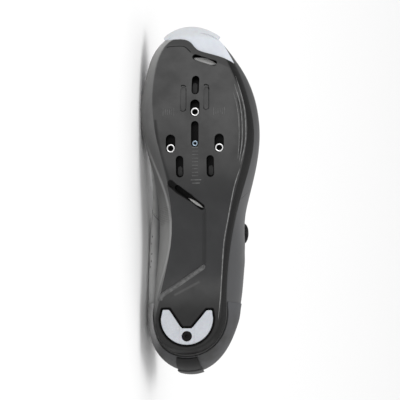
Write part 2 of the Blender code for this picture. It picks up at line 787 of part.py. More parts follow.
def below_dial(place, x, y):
    """The point of the upper, with clearance, under a place in the dial's frame."""
    back = np.array(place.inverted())
    u, t = DIAL_U, DIAL_T
    step = 0.01
    for _ in range(6):
        tries = ((u, t), (u + step, t), (u, t + step))
        points = np.array([off_upper(row, share, LIFT) for row, share in tries])
        here, ahead, higher = (points @ back[:3, :3].T + back[:3, 3])[:, :2]
        slopes = np.stack([ahead - here, higher - here], axis=1) / step
        move = np.linalg.solve(slopes, np.array([x, y]) - here)
        u, t = u + move[0], t + move[1]
    return off_upper(u, t, LIFT)


def make_dial(base_paint, knob_paint):
    """The dial's base follows the upper below and is flat above, and the knob turns on it."""
    place = upper_matrix(DIAL_U, DIAL_T, 0)
    steps = 32
    inner = [below_dial(place, x, y) for x, y in circle((0, 0), DIAL_BASE_RADIUS / 2, steps)]
    outer = [below_dial(place, x, y) for x, y in circle((0, 0), DIAL_BASE_RADIUS, steps)]
    upper = [place @ Vector((x, y, DIAL_BASE_HEIGHT)) for x, y in circle((0, 0), DIAL_BASE_RADIUS, steps)]
    points = inner + outer + upper + [below_dial(place, 0, 0)]
    faces = [tuple(range(2 * steps, 3 * steps))]
    for k in range(steps):
        after = (k + 1) % steps
        faces.append((3 * steps, k, after))
        faces.append((k, steps + k, steps + after, after))
        faces.append((steps + k, 2 * steps + k, 2 * steps + after, steps + after))
    add_object("dial_base", mesh_from("dial_base", points, faces), base_paint)
    knob = cylinder("dial_knob", DIAL_RADIUS, 0, DIAL_KNOB_HEIGHT, (0, 0), knob_paint, False, steps)
    knob.matrix_world = place @ Matrix.Translation((0, 0, DIAL_BASE_HEIGHT + GAP))
    edge = knob.modifiers.new("edge", "BEVEL")
    edge.width = 0.0012
    edge.segments = 2
    edge.limit_method = "ANGLE"


def make_guide(name, u, paint):
    """A moulded channel on the throat's edge, open toward the throat, that turns the wire."""
    low = LIFT
    floor = low + GUIDE_WALL
    roof = floor + GUIDE_CHANNEL
    top = roof + GUIDE_WALL
    section = [
        (0.82, low), (0.97, low), (0.97, floor), (0.855, floor),
        (0.855, roof), (0.97, roof), (0.97, top), (0.82, top),
    ]
    points = []
    stations = np.linspace(u - 0.42, u + 0.42, 5)
    for station in stations:
        points += [off_upper(station, t, lift) for t, lift in section]
    count = len(section)
    faces = [tuple(range(count)), tuple(range(len(points) - count, len(points)))]
    for r in range(len(stations) - 1):
        for c in range(count):
            after = (c + 1) % count
            faces.append((r * count + c, r * count + after, (r + 1) * count + after, (r + 1) * count + c))
    add_object(name, mesh_from(name, points, faces), paint)


def turn_points(u, side):
    """The wire's turn inside a guide, from the throat's edge and back to it."""
    lift = LIFT + GUIDE_WALL + GUIDE_CHANNEL / 2
    places = ((-0.30, 0.97), (-0.27, 0.91), (-0.14, 0.88), (0.14, 0.88), (0.27, 0.91), (0.30, 0.97))
    return [off_upper(u + side * du, t, lift) for du, t in places]


def crossing(u_lateral, u_medial, to_medial):
    shares_across = np.array([0.15, 0.5, 0.85])
    if not to_medial:
        shares_across = shares_across[::-1]
    points = []
    for share in shares_across:
        place = over_throat(u_lateral, u_medial, np.array([share]))[0]
        up = 0.0020 + 0.0020 * (2 * share - 1) ** 2
        points.append(place + np.array([0, 0, up]))
    return points


def make_wire(paint):
    lift = LIFT + GUIDE_WALL + GUIDE_CHANNEL / 2
    dial = upper_matrix(DIAL_U, DIAL_T, 0)
    exit_at = DIAL_BASE_RADIUS + GAP + WIRE_RADIUS
    start, end = [dial @ Vector((exit_at, side * WIRE_SPREAD, 0)) for side in (-1, 1)]
    route = [start, off_upper(6.52, 0.96, lift)]
    route += crossing(6.62, AROUND - 6.22, True)
    route += turn_points(AROUND - GUIDE_UPPER_MEDIAL, -1)
    route += crossing(6.95, AROUND - 6.80, False)
    route += turn_points(GUIDE_UPPER_LATERAL, 1)
    route += crossing(7.75, AROUND - 7.55, True)
    route += turn_points(AROUND - GUIDE_LOWER_MEDIAL, -1)
    route += crossing(9.10, AROUND - 8.30, False)
    last = GUIDE_LOWER_LATERAL
    home = (
        (last + 0.24, 0.97), (last + 0.18, 0.92), (last, 0.88), (last - 0.30, 0.872), (last - 0.62, 0.86),
        (last - 0.95, 0.79), (last - 1.4, 0.735), (last - 1.9, 0.74), (6.62, 0.765),
    )
    route += [off_upper(u, t, lift) for u, t in home] + [end]
    line = smooth_space(route, 2)
    curve = bpy.data.curves.new("wire_lace", "CURVE")
    curve.dimensions = "3D"
    curve.bevel_depth = WIRE_RADIUS
    curve.bevel_resolution = 2
    curve.use_fill_caps = True
    spline = curve.splines.new("POLY")
    spline.points.add(len(line) - 1)
    for point, place in zip(spline.points, line):
        point.co = (*place, 1)
    add_object("wire_lace", curve, paint)


def smooth_space(points, steps):
    points = [np.asarray(point, float) for point in points]
    points = [2 * points[0] - points[1]] + points + [2 * points[-1] - points[-2]]
    line = []
    for before, start, end, after in zip(points, points[1:], points[2:], points[3:]):
        for k in range(steps):
            t = k / steps
            a = 2 * start + (end - before) * t
            b = (2 * before - 5 * start + 4 * end - after) * t**2
            c = (3 * start - before - 3 * end + after) * t**3
            line.append((a + b + c) / 2)
    return line + [points[-2]]


def solid_centre(obj, graph):
    """The mass and the weighted centre of a closed piece, and its corners."""
    mesh = obj.evaluated_get(graph).to_mesh()
    mesh.calc_loop_triangles()
    points = np.empty(len(mesh.vertices) * 3)
    mesh.vertices.foreach_get("co", points)
    world = np.array(obj.matrix_world)
    points = points.reshape(-1, 3) @ world[:3, :3].T + world[:3, 3]
    triangles = np.empty(len(mesh.loop_triangles) * 3, np.int32)
    mesh.loop_triangles.foreach_get("vertices", triangles)
    corners = points[triangles.reshape(-1, 3)]
    volumes = np.linalg.det(corners) / 6
    obj.evaluated_get(graph).to_mesh_clear()
    mass = volumes.sum() * DENSITIES[obj.material_slots[0].material.name]
    return mass, (corners.sum(axis=1) / 4 * volumes[:, None]).sum(axis=0) / volumes.sum(), points


def rest_plane(points, centre):
    """The outward normal of the medial facet under the mass, where the upper bears too."""
    hull = bmesh.new()
    for point in points:
        hull.verts.new(point)
    bmesh.ops.convex_hull(hull, input=hull.verts)
    best = None
    for face in hull.faces:
        if len(face.verts) != 3 or face.normal.y > -0.5 or face.normal.z < 0:
            continue
        corners = [vert.co for vert in face.verts]
        foot = centre - face.normal * (centre - corners[0]).dot(face.normal)
        edges = zip(corners, corners[1:] + corners[:1])
        inside = min((end - start).normalized().cross(foot - start).dot(face.normal) for start, end in edges)
        if best is None or inside > best[0]:
            best = (inside, face.normal.copy())
    hull.free()
    return best[1]


def lay_down():
    """Parents every piece to one frame and rests the shoe on its medial side."""
    bpy.context.view_layer.update()
    graph = bpy.context.evaluated_depsgraph_get()
    pieces = list(bpy.data.collections["cycling_shoe"].objects)
    found = [solid_centre(obj, graph) for obj in pieces]
    total = sum(mass for mass, centre, points in found)
    centre = Vector(sum(mass * centre for mass, centre, points in found) / total)
    points = np.concatenate([points for mass, centre_, points in found])
    up = -rest_plane(points, centre)
    toe_away = -(Vector((1, 0, 0)) - up * up.x).normalized()
    turn = Matrix((toe_away, up.cross(toe_away), up))
    laid = points @ np.array(turn).T
    low, high = laid.min(axis=0), laid.max(axis=0)
    frame = bpy.data.objects.new("shoe_frame", None)
    bpy.context.scene.collection.objects.link(frame)
    for obj in list(bpy.data.objects):
        if obj != frame:
            obj.parent = frame
    middle = Vector(((low[0] + high[0]) / 2, (low[1] + high[1]) / 2, low[2]))
    frame.matrix_world = Matrix.Translation(-middle) @ turn.to_4x4()


def main():
    clear_scene()
    sole = material("sole_plastic", (0.075, 0.075, 0.080), 0.35)
    white = material("white_rubber", (0.78, 0.80, 0.84), 0.45)
    fabric = material("upper_microfibre", (0.17, 0.17, 0.175), 0.7)
    black = material("black_plastic", (0.02, 0.02, 0.022), 0.4)
    dark = material("heel_microfibre", (0.09, 0.09, 0.092), 0.6)
    lining = material("lining_fabric", (0.05, 0.05, 0.052), 0.85)
    chrome = material("bright_steel", (0.85, 0.85, 0.86), 0.12, 1.0)
    mesh_grey = material("vent_mesh", (0.55, 0.56, 0.56), 0.6)
    make_outsole(sole)
    make_bumper(white)
    make_tread(white)
    make_screw(black)
    centre, span = CLEAT_CENTRE, CLEAT_HALF_SPAN
    make_nut("cleat_nut_front", (CLEAT_FRONT_AT, centre), NUT_RADIUS, NUT_BORE, chrome)
    make_nut("cleat_nut_medial", (CLEAT_REAR_AT, centre - span), NUT_RADIUS, NUT_BORE, chrome)
    make_nut("cleat_nut_lateral", (CLEAT_REAR_AT, centre + span), NUT_RADIUS, NUT_BORE, chrome)
    guide_at = (CLEAT_REAR_AT + GUIDE_NUT_AHEAD, centre)
    make_nut("guide_nut", guide_at, GUIDE_NUT_RADIUS, GUIDE_NUT_BORE, chrome)
    backing("nut_plate", nut_plate_outline(), black)
    for name, start, end in vent_plan():
        backing("vent_mesh_" + name, widened(capsule(start, end, VENT_WIDTH), VENT_SEAM), mesh_grey)
    make_insole(lining)
    make_upper(fabric)
    make_heel_panels(dark, black, dark)
    make_tongue(fabric)
    make_dial(black, black)
    make_guide("lace_guide_upper_medial", AROUND - GUIDE_UPPER_MEDIAL, black)
    make_guide("lace_guide_upper_lateral", GUIDE_UPPER_LATERAL, black)
    make_guide("lace_guide_lower_medial", AROUND - GUIDE_LOWER_MEDIAL, black)
    make_guide("lace_guide_lower_lateral", GUIDE_LOWER_LATERAL, black)
    make_wire(chrome)
    lay_down()


main()
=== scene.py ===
# Looks for the left road cycling shoe that lies on its medial side, seen from below its sole.
import json
import math

import bmesh
import bpy
import numpy as np
from mathutils import Matrix, Vector
from mathutils.bvhtree import BVHTree

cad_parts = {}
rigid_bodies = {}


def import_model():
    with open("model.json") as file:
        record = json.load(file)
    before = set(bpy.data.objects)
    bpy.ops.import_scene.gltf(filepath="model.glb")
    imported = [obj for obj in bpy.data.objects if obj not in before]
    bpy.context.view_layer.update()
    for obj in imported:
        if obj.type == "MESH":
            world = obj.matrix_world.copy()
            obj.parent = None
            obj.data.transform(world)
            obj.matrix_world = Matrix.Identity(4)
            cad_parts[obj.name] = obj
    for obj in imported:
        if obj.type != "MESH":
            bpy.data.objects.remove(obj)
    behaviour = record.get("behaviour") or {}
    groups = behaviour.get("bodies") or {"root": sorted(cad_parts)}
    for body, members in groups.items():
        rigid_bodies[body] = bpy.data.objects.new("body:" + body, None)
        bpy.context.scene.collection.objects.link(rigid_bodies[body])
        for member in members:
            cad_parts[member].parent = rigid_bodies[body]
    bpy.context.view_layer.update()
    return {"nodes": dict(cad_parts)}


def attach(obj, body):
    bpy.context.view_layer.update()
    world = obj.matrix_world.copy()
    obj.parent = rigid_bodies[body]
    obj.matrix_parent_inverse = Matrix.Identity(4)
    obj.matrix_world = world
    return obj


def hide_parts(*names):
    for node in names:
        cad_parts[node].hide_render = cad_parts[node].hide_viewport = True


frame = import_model()
nodes = frame["nodes"]
print("frame loaded:", len(nodes), "nodes")

# the shoe's own axes: x from heel to toe, y to the lateral side, z up from the sole
nutPlaces = {  # where the cleat nuts stand in the shoe, in metres
    "cleat_nut_front": (0.2094, 0.0056, 0.0025),
    "cleat_nut_medial": (0.1797, -0.0143, 0.0025),
    "cleat_nut_lateral": (0.1797, 0.0255, 0.0025),
}


def nodeMiddle(name):
    places = {tuple(round(c, 6) for c in v.co) for v in nodes[name].data.vertices}
    low = Vector([min(p[k] for p in places) for k in range(3)])
    high = Vector([max(p[k] for p in places) for k in range(3)])
    return (low + high) / 2


def shoeToWorld():
    front, medial, lateral = [nodeMiddle(name) for name in nutPlaces]
    across = (lateral - medial).normalized()
    ahead = front - (medial + lateral) / 2
    ahead = (ahead - across * ahead.dot(across)).normalized()
    up = ahead.cross(across)
    turn = Matrix((ahead, across, up)).transposed().to_4x4()
    turn.translation = front - turn.to_3x3() @ Vector(nutPlaces["cleat_nut_front"])
    return turn


shoe = shoeToWorld()
unshoe = shoe.inverted()


def inShoe(x, y, z=0.0):
    # a place in the shoe, in millimetres, as a world point
    return shoe @ Vector((x / 1000, y / 1000, z / 1000))


underside = [  # how high the sole's underside stands along the shoe, in millimetres
    (0, 1.0), (34.8, 1.0), (54, 1.5), (79.8, 5.9), (111, 8.1), (142.5, 4.8), (168, 0.5), (178, 0.0),
    (205, 0.0), (218, 0.9), (241.7, 6.6), (257.9, 13.2), (269, 18.7), (275, 21.1), (290, 27.0),
]


photoScale = {  # millimetres for each pixel, where the heel ends, the middle, and the two turns
    "pixel": 0.808, "heelRow": 374.8, "middleColumn": 187.9, "heelHeight": 40,
    "pitchCos": 0.99, "pitchSin": 0.139, "rollCos": 0.991, "rollSin": 0.1305,
}


def fromPhoto(px, py, z=None):
    # the shoe's own x and y, in millimetres, of a photo pixel that shows the underside or height z
    look = photoScale
    height = z or 0.0
    for _ in range(3):
        along = (look["heelRow"] - py) * look["pixel"] - (look["heelHeight"] - height) * look["pitchSin"]
        x = along / look["pitchCos"]
        if z is None:
            height = float(np.interp(x, *zip(*underside)))
    across = (px - look["middleColumn"]) * look["pixel"] - height * look["rollSin"]
    return x, across / look["rollCos"]


# camera: square to the sole, toe up, rolled a little to the lateral side
view = {"roll": 7.5, "pitch": 8.0, "distance": 5.0, "width": 0.3232, "across": 0.00978, "up": 0.1357}


def cameraFrame():
    roll, pitch = math.radians(view["roll"]), math.radians(view["pitch"])
    right = Vector((0, math.cos(roll), math.sin(roll)))
    up = Vector((math.cos(pitch), 0, -math.sin(pitch)))
    up = (up - right * up.dot(right)).normalized()
    turn = Matrix((right, up, right.cross(up))).transposed().to_4x4()
    turn.translation = turn.to_3x3() @ Vector((view["across"], view["up"], view["distance"]))
    return turn


def seenAt(tree, px, py):
    # the shoe's own millimetres of the surface that a photo pixel shows
    turn = shoe @ cameraFrame()
    step = view["width"] / 400
    ahead = Vector(((px - 200) * step, (200 - py) * step, -view["distance"]))
    hit = tree.ray_cast(turn.translation, (turn.to_3x3() @ ahead).normalized())
    return unshoe @ hit[0] * 1000 if hit[0] else Vector((0, 0, -500))


def placeCamera():
    camera = bpy.data.cameras.new("camera")
    camera.sensor_width = 36
    camera.lens = 36 * view["distance"] / view["width"]
    camera.clip_end = 60
    holder = bpy.data.objects.new("camera", camera)
    bpy.context.scene.collection.objects.link(holder)
    holder.matrix_world = shoe @ cameraFrame()
    bpy.context.scene.camera = holder
    print("camera at", [round(c, 3) for c in holder.matrix_world.translation])


placeCamera()


# shader helpers
class Wire:
    # a shader socket that takes part in ordinary maths
    def __init__(self, paint, socket):
        self.paint = paint
        self.socket = socket

    def maths(self, operation, *inputs):
        return self.paint.node("ShaderNodeMath", {"operation": operation}, dict(enumerate(inputs)))

    def __add__(self, other):
        return self.maths("ADD", self, other)

    def __sub__(self, other):
        return self.maths("SUBTRACT", self, other)

    def __rsub__(self, other):
        return self.maths("SUBTRACT", other, self)

    def __mul__(self, other):
        return self.maths("MULTIPLY", self, other)

    def __truediv__(self, other):
        return self.maths("DIVIDE", self, other)

    def __pow__(self, other):
        return self.maths("POWER", self, other)

    def __abs__(self):
        return self.maths("ABSOLUTE", self)

    __radd__ = __add__
    __rmul__ = __mul__

    def lower(self, other):
        return self.maths("MINIMUM", self, other)

    def higher(self, other):
        return self.maths("MAXIMUM", self, other)

    def wave(self):
        return self.maths("SINE", self)

    def fraction(self):
        return self.maths("FRACT", self)

    def fade(self, low, high):
        # 0 below low, 1 above high and a soft step between
        return self.paint.node(
            "ShaderNodeMapRange",
            {"interpolation_type": "SMOOTHSTEP"},
            {"Value": self, "From Min": low, "From Max": high},
            "Result",
        )

    def band(self, middle, half, soft):
        # 1 within half of the middle
        return 1 - abs(self - middle).fade(half - soft, half + soft)


class Paint:
    # one material, with the shoe's own millimetres as its coordinates
    def __init__(self, name, inMillimetres=True):
        self.material = bpy.data.materials.new(name)
        self.material.use_nodes = True
        self.tree = self.material.node_tree
        self.shader = self.tree.nodes["Principled BSDF"]
        if inMillimetres:
            place = self.node("ShaderNodeTexCoord", {}, {}, "Object")
            self.x, self.y, self.z = self.alongAxes(place, 1000.0, True)
            self.place = self.node("ShaderNodeCombineXYZ", {}, {0: self.x, 1: self.y, 2: self.z}, 0)

    def alongAxes(self, vector, scale, isPlace):
        found = []
        for k in range(3):
            axis = shoe.col[k].to_3d()
            dot = self.node("ShaderNodeVectorMath", {"operation": "DOT_PRODUCT"},
                            {0: vector, 1: tuple(axis * scale)}, "Value")
            found.append(dot - shoe.translation.dot(axis) * scale if isPlace else dot)
        return found

    def facing(self):
        normal = self.node("ShaderNodeNewGeometry", {}, {}, "True Normal")
        return self.alongAxes(normal, 1.0, False)

    def distanceTo(self, points):
        # how far a place in plan lies from a chain of points, in millimetres
        nearest = None
        for (startX, startY), (endX, endY) in zip(points, points[1:]):
            length = math.hypot(endX - startX, endY - startY)
            stepX, stepY = (endX - startX) / length, (endY - startY) / length
            offX, offY = self.x - startX, self.y - startY
            run = (offX * stepX + offY * stepY).higher(0).lower(length)
            offX, offY = offX - run * stepX, offY - run * stepY
            away = (offX * offX + offY * offY) ** 0.5
            nearest = nearest.lower(away) if nearest else away
        return nearest

    def stroke(self, pixels, half, soft, z=None):
        # 1 within half of a line that is drawn in photo pixels on the underside or at height z
        return 1 - self.distanceTo([fromPhoto(*pixel, z) for pixel in pixels]).fade(half - soft, half + soft)

    def node(self, kind, settings, inputs, output=0):
        made = self.tree.nodes.new(kind)
        for key, value in settings.items():
            setattr(made, key, value)
        for key, value in inputs.items():
            socket = made.inputs[key]
            if isinstance(value, Wire):
                self.tree.links.new(value.socket, socket)
            else:
                socket.default_value = value
        return Wire(self, made.outputs[output])

    def set(self, **values):
        for key, value in values.items():
            socket = self.shader.inputs[key.replace("_", " ")]
            if isinstance(value, Wire):
                self.tree.links.new(value.socket, socket)
            elif isinstance(value, tuple) and len(value) == 3:
                socket.default_value = (*value, 1)
            else:
                socket.default_value = value

    def noise(self, scale, detail=2.0, vector=None):
        # scale counts grains in each millimetre
        inputs = {"Vector": vector or self.place, "Scale": scale, "Detail": detail, "Roughness": 0.5}
        return self.node("ShaderNodeTexNoise", {}, inputs, 0)

    def cells(self, scale):
        inputs = {"Vector": self.place, "Scale": scale}
        return self.node("ShaderNodeTexVoronoi", {"feature": "F1"}, inputs, "Distance")

    def stretched(self, x, y, z):
        # the shoe's coordinates with each axis scaled
        return self.node("ShaderNodeVectorMath", {"operation": "MULTIPLY"}, {0: self.place, 1: (x, y, z)}, 0)

    def mix(self, factor, first, second):
        colours = [(*c, 1) if isinstance(c, tuple) else c for c in (first, second)]
        inputs = {0: factor, 6: colours[0], 7: colours[1]}
        return self.node("ShaderNodeMix", {"data_type": "RGBA", "clamp_factor": True}, inputs, 2)

    def bump(self, height, depth, strength=1.0, under=None):
        # depth is the relief in millimetres of a height from 0 to 1
        inputs = {"Height": height, "Distance": depth / 1000, "Strength": strength}
        if under:
            inputs["Normal"] = under
        made = self.node("ShaderNodeBump", {}, inputs, 0)
        self.set(Normal=made)
        return made


def grey(value, tint=(1.0, 1.0, 1.0)):
    # a photo value from 0 to 255 as a linear colour
    share = value / 255
    linear = share / 12.92 if share <= 0.04045 else ((share + 0.055) / 1.055) ** 2.4
    return tuple(linear * t for t in tint)


# shape helpers
def selectOnly(piece):
    bpy.ops.object.select_all(action="DESELECT")
    piece.select_set(True)
    bpy.context.view_layer.objects.active = piece


def finishPiece(piece, paint, slotName, *replaced):
    piece.data.materials.clear()
    piece.data.materials.append(paint.material)
    if replaced:
        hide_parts(*replaced)
    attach(piece, "root")
    print("piece:", piece.name, len(piece.data.polygons), "faces")


def copyOfNode(nodeName, pieceName, quads=True):
    # a merged copy of a CAD node, still in place
    piece = bpy.data.objects.new(pieceName, nodes[nodeName].data.copy())
    bpy.context.scene.collection.objects.link(piece)
    selectOnly(piece)
    bpy.ops.object.mode_set(mode="EDIT")
    bpy.ops.mesh.select_all(action="SELECT")
    bpy.ops.mesh.remove_doubles(threshold=0.00002)
    bpy.ops.mesh.customdata_custom_splitnormals_clear()
    if quads:
        bpy.ops.mesh.tris_convert_to_quads(face_threshold=math.radians(30), shape_threshold=math.radians(50))
    bpy.ops.mesh.select_all(action="DESELECT")
    bpy.ops.object.mode_set(mode="OBJECT")
    return piece


def creaseSharp(piece, angle, value):
    selectOnly(piece)
    bpy.ops.object.mode_set(mode="EDIT")
    bpy.ops.mesh.select_mode(type="EDGE")
    bpy.ops.mesh.select_all(action="DESELECT")
    bpy.ops.mesh.edges_select_sharp(sharpness=math.radians(angle))
    bpy.ops.transform.edge_crease(value=value)
    bpy.ops.mesh.select_all(action="DESELECT")
    bpy.ops.object.mode_set(mode="OBJECT")


def addModifier(piece, kind, **settings):
    modifier = piece.modifiers.new(kind.lower(), kind)
    for key, value in settings.items():
        setattr(modifier, key, value)
    selectOnly(piece)
    bpy.ops.object.modifier_apply(modifier=modifier.name)


def softened(piece, levels, creaseAngle=55, crease=0.8):
    creaseSharp(piece, creaseAngle, crease)
    addModifier(piece, "SUBSURF", levels=levels, render_levels=levels)
    selectOnly(piece)
    bpy.ops.object.shade_smooth()


def smoothByAngle(piece, angle=32):
    selectOnly(piece)
    bpy.ops.object.shade_smooth_by_angle(angle=math.radians(angle))


def bevelled(piece, angle):
    addModifier(piece, "BEVEL", width=0.0004, segments=2, limit_method="ANGLE",
                angle_limit=math.radians(angle), use_clamp_overlap=True)


def mergeCloseCorners(piece, distance):
    selectOnly(piece)
    bpy.ops.object.mode_set(mode="EDIT")
    bpy.ops.mesh.select_all(action="SELECT")
    bpy.ops.mesh.remove_doubles(threshold=distance)
    bpy.ops.mesh.dissolve_degenerate(threshold=distance)
    bpy.ops.object.mode_set(mode="OBJECT")


def edited(piece):
    mesh = bmesh.new()
    mesh.from_mesh(piece.data)
    return mesh


# floor and lights
def layFloor():
    bpy.ops.object.select_all(action="DESELECT")
    bpy.ops.mesh.primitive_plane_add(size=30, location=(0, 0, 0))
    floor = bpy.context.object
    floor.name = "floor"
    paint = Paint("floorPaint", False)
    paint.set(Base_Color=(0.93, 0.93, 0.93), Roughness=0.9)
    paint.set(Specular_IOR_Level=0.1)
    floor.data.materials.append(paint.material)


def addLight(name, place, target, size, power):
    light = bpy.data.lights.new(name, "AREA")
    light.shape = "DISK"
    light.size = size
    light.energy = power
    holder = bpy.data.objects.new(name, light)
    bpy.context.scene.collection.objects.link(holder)
    away = Vector(place) - Vector(target)
    holder.matrix_world = Matrix.Translation(place) @ away.to_track_quat("Z", "Y").to_matrix().to_4x4()


roomLook = {
    "world": 0.83,
    "lamps": {  # place, size and power
        "toeLamp": ((-1.1, -1.9, 0.22), 0.7, 7),
        "heelLamp": ((1.1, -1.9, 0.22), 0.7, 5),
        "topLamp": ((-0.6, -0.4, 4.0), 2.4, 50),
    },
}


def lightRoom():
    world = bpy.data.worlds.new("room")
    bpy.context.scene.world = world
    world.use_nodes = True
    background = world.node_tree.nodes["Background"]
    background.inputs[0].default_value = (1, 1, 1, 1)
    background.inputs[1].default_value = roomLook["world"]
    for name, (place, size, power) in roomLook["lamps"].items():
        addLight(name, place, (0, 0, 0.05), size, power)
    bpy.context.scene.view_settings.view_transform = "Standard"
    bpy.context.scene.view_settings.look = "None"


layFloor()
lightRoom()
print("floor and lights placed")

# outsole
soleLook = {
    "flat": 72, "waist": 46, "heel": 34, "shadedSideWall": 26, "litArchLow": 110, "litArchHigh": 142, "front": 62,
    "archShade": 72, "rim": 168, "roughness": 0.5, "archGloss": 0.3,
}
soleZones = {  # middle along the shoe, half length and softness, in millimetres
    "waist": (112, 42, 14), "ball": (158, 26, 18), "archShade": (160, 34, 26), "wearAndHighlight": (118, 62, 12),
    "gripRibs": (127, 6.5, 0.8),
}
frontEdge = [  # these lines are drawn in photo pixels
    (163, 40), (167.2, 37.4), (183.5, 37.4), (190, 41), (194.7, 46.7), (200.3, 50.5), (219, 56), (236, 63.5),
]
medialEdge = [(155, 120), (156.6, 136), (161.6, 156), (168.2, 178), (173, 187)]
waistChannel = [(170.5, 183), (178, 190), (190, 197.6)]
waistGroove = [(204.3, 214), (204.3, 262)]
secondRidge = [(175, 294.8), (198.5, 282.7)]


treadLook = {  # in millimetres, the notch from the tread's middle
    "radius": 21.2, "screwBehind": 14.4,
    "notch": [
        (7.4, -19.7), (7.4, -14.6), (-6.2, -5.6), (-7.9, -3.8),
        (-7.9, 3.8), (-6.2, 5.6), (6.6, 16.2), (6.6, 20.3),
    ],
}


def treadLine():
    # the tread's outline on the underside, in the shoe's millimetres
    screw = unshoe @ nodeMiddle("heel_screw") * 1000
    radius = treadLook["radius"]
    turns = [math.radians(90 + 15 * k) for k in range(13)]
    line = [(radius * math.cos(turn), radius * math.sin(turn)) for turn in turns] + treadLook["notch"]
    return [(screw.x + treadLook["screwBehind"] + x, screw.y + y) for x, y in line + line[:1]]


def paintSole():
    paint = Paint("soleMoulding")
    _, ny, nz = paint.facing()
    x, y, z = paint.x, paint.y, paint.z
    mottle = paint.noise(0.05, 3.0)
    colour = paint.mix(mottle.fade(0.3, 0.7), grey(soleLook["flat"] - 6), grey(soleLook["flat"] + 6))
    colour = paint.mix(x.band(*soleZones["waist"]) * 0.7, colour, grey(soleLook["waist"], (0.99, 1.0, 1.06)))
    colour = paint.mix((1 - x.fade(38, 78)) * 0.85, colour, grey(soleLook["heel"]))
    # painted shade: a darker band behind the front edge stands in for the chamfer turning away from the
    # light
    band = paint.stroke(frontEdge, 5.2, 0.9)
    colour = paint.mix(band * 0.8, colour, grey(soleLook["front"]))
    # painted shade: a dark soft line in the crease between the flat and the arch wall
    colour = paint.mix(paint.stroke(medialEdge, 1.0, 1.4) * 0.7, colour, grey(26))
    # painted shade: the waist groove is painted darker as well as bumped
    groove = paint.stroke(waistGroove, 1.5, 0.8)
    colour = paint.mix(groove * 0.35, colour, grey(46))
    # painted highlight: the second ridge is painted lighter
    ridge = paint.stroke(secondRidge, 1.0, 0.8)
    colour = paint.mix(ridge * 0.3, colour, grey(104))
    wall = 1 - (0 - nz).fade(0.72, 0.9)
    archSide = (0 - y).fade(9, 13) * (0 - ny).fade(0.05, 0.3)
    lateral = ny.fade(0.0, 0.3) * y.fade(19, 22)
    # painted shade: the lateral side wall is painted darker, for the shadow it lies in
    colour = paint.mix(wall * lateral, colour, grey(soleLook["shadedSideWall"]))
    colour = paint.mix(x.band(*soleZones["ball"]) * 0.35, colour, grey(soleLook["waist"]))
    # painted reflection: the arch wall is painted lighter than the flat and lighter still towards its rim,
    # with a band of painted shade (archShade)
    share = (z - 3).fade(0, 16)
    arch = paint.mix(share, grey(soleLook["litArchLow"]), grey(soleLook["litArchHigh"], (1.0, 1.0, 0.985)))
    arch = paint.mix(x.band(*soleZones["archShade"]) * 0.75, arch, grey(soleLook["archShade"]))
    colour = paint.mix(wall * archSide * x.fade(30, 60), colour, arch)
    # a thin painted highlight line along the arch wall's rim
    wearAndHighlight = wall * archSide * x.band(*soleZones["wearAndHighlight"]) * share.band(0.5, 0.13, 0.08)
    colour = paint.mix(wearAndHighlight * 0.5, colour, grey(soleLook["rim"]))
    # painted shade: the slots, the waist vent's channel and the tread's recess are painted near black
    # inside, for the shade deep in them
    plan = (1 - abs(y - 5.6).fade(25, 27)) * x.fade(120, 126) * (1 - archSide)
    recess = z.fade(1.3, 1.7) * (1 - x.fade(50, 51.5)) * (1 - abs(y + 1).fade(22.4, 22.8)) * (1 - lateral)
    channel = paint.stroke(waistChannel, 2.6, 0.6)
    gap = 1 - paint.distanceTo(treadLine()).fade(1.8, 2.4)
    black = (wall * plan * (1 - lateral)).higher(recess).higher(channel).higher(gap)
    colour = paint.mix(black, colour, grey(2))
    grain = paint.noise(2.2, 2.0)
    rough = soleLook["roughness"] + (grain - 0.5) * 0.1
    glossy = wall * archSide * x.fade(60, 84)
    rough = rough - glossy * 0.16 + wall * lateral * 0.25
    paint.set(Base_Color=colour, Roughness=rough, Specular_IOR_Level=0.12)
    paint.set(Coat_Weight=glossy * soleLook["archGloss"])
    under = paint.bump(grain, 0.03, 0.5)
    sweep = paint.noise(0.08, 1.0, vector=paint.stretched(0.35, 1.0, 1.0))
    under = paint.bump(sweep, 1.0, 0.2, under)
    relief = 1 - paint.stroke(frontEdge, 4.6, 1.6) * 0.6 - groove * 0.4 - channel + ridge * 0.5
    under = paint.bump(relief, 0.9, 0.8, under)
    # fine grip ribs on the arch wall
    ribs = (x * 4.4).wave().fade(-0.2, 0.7) * x.band(*soleZones["gripRibs"]) * wall * archSide
    paint.bump(ribs, 0.35, 0.8, under)
    return paint


solePaint = paintSole()


sweepLook = {"length": 290.0, "reach": 24, "spread": 9.0, "alike": 0.965}


def smoothUnderside(piece):
    # the underside is shaded as one smooth sweep along the shoe, whatever its triangles
    reach = sweepLook["reach"]
    places = np.arange(0.0, sweepLook["length"])
    heights = np.interp(places, *zip(*underside))
    weights = np.exp(-(np.arange(-reach, reach + 1) / sweepLook["spread"]) ** 2 / 2)
    heights = np.convolve(np.pad(heights, reach, mode="edge"), weights / weights.sum(), mode="valid")
    slopes = np.gradient(heights)
    mesh = piece.data
    normals = [Vector(corner.vector) for corner in mesh.corner_normals]
    turn = shoe.to_3x3()
    for face in mesh.polygons:
        middle = (unshoe @ face.center) * 1000
        sweep = (turn @ Vector((float(np.interp(middle.x, places, slopes)), 0, -1))).normalized()
        if face.normal.dot(sweep) < sweepLook["alike"]:
            continue
        for corner in face.loop_indices:
            place = (unshoe @ mesh.vertices[mesh.loops[corner].vertex_index].co) * 1000
            slope = float(np.interp(place.x, places, slopes))
            normals[corner] = (turn @ Vector((slope, 0, -1))).normalized()
    mesh.normals_split_custom_set(normals)


def makeSole():
    sole = copyOfNode("outsole", "soleBody", False)
    bevelled(sole, 42)
    smoothByAngle(sole, 38)
    smoothUnderside(sole)
    finishPiece(sole, solePaint, "sole_plastic", "outsole")
    return sole


soleBody = makeSole()


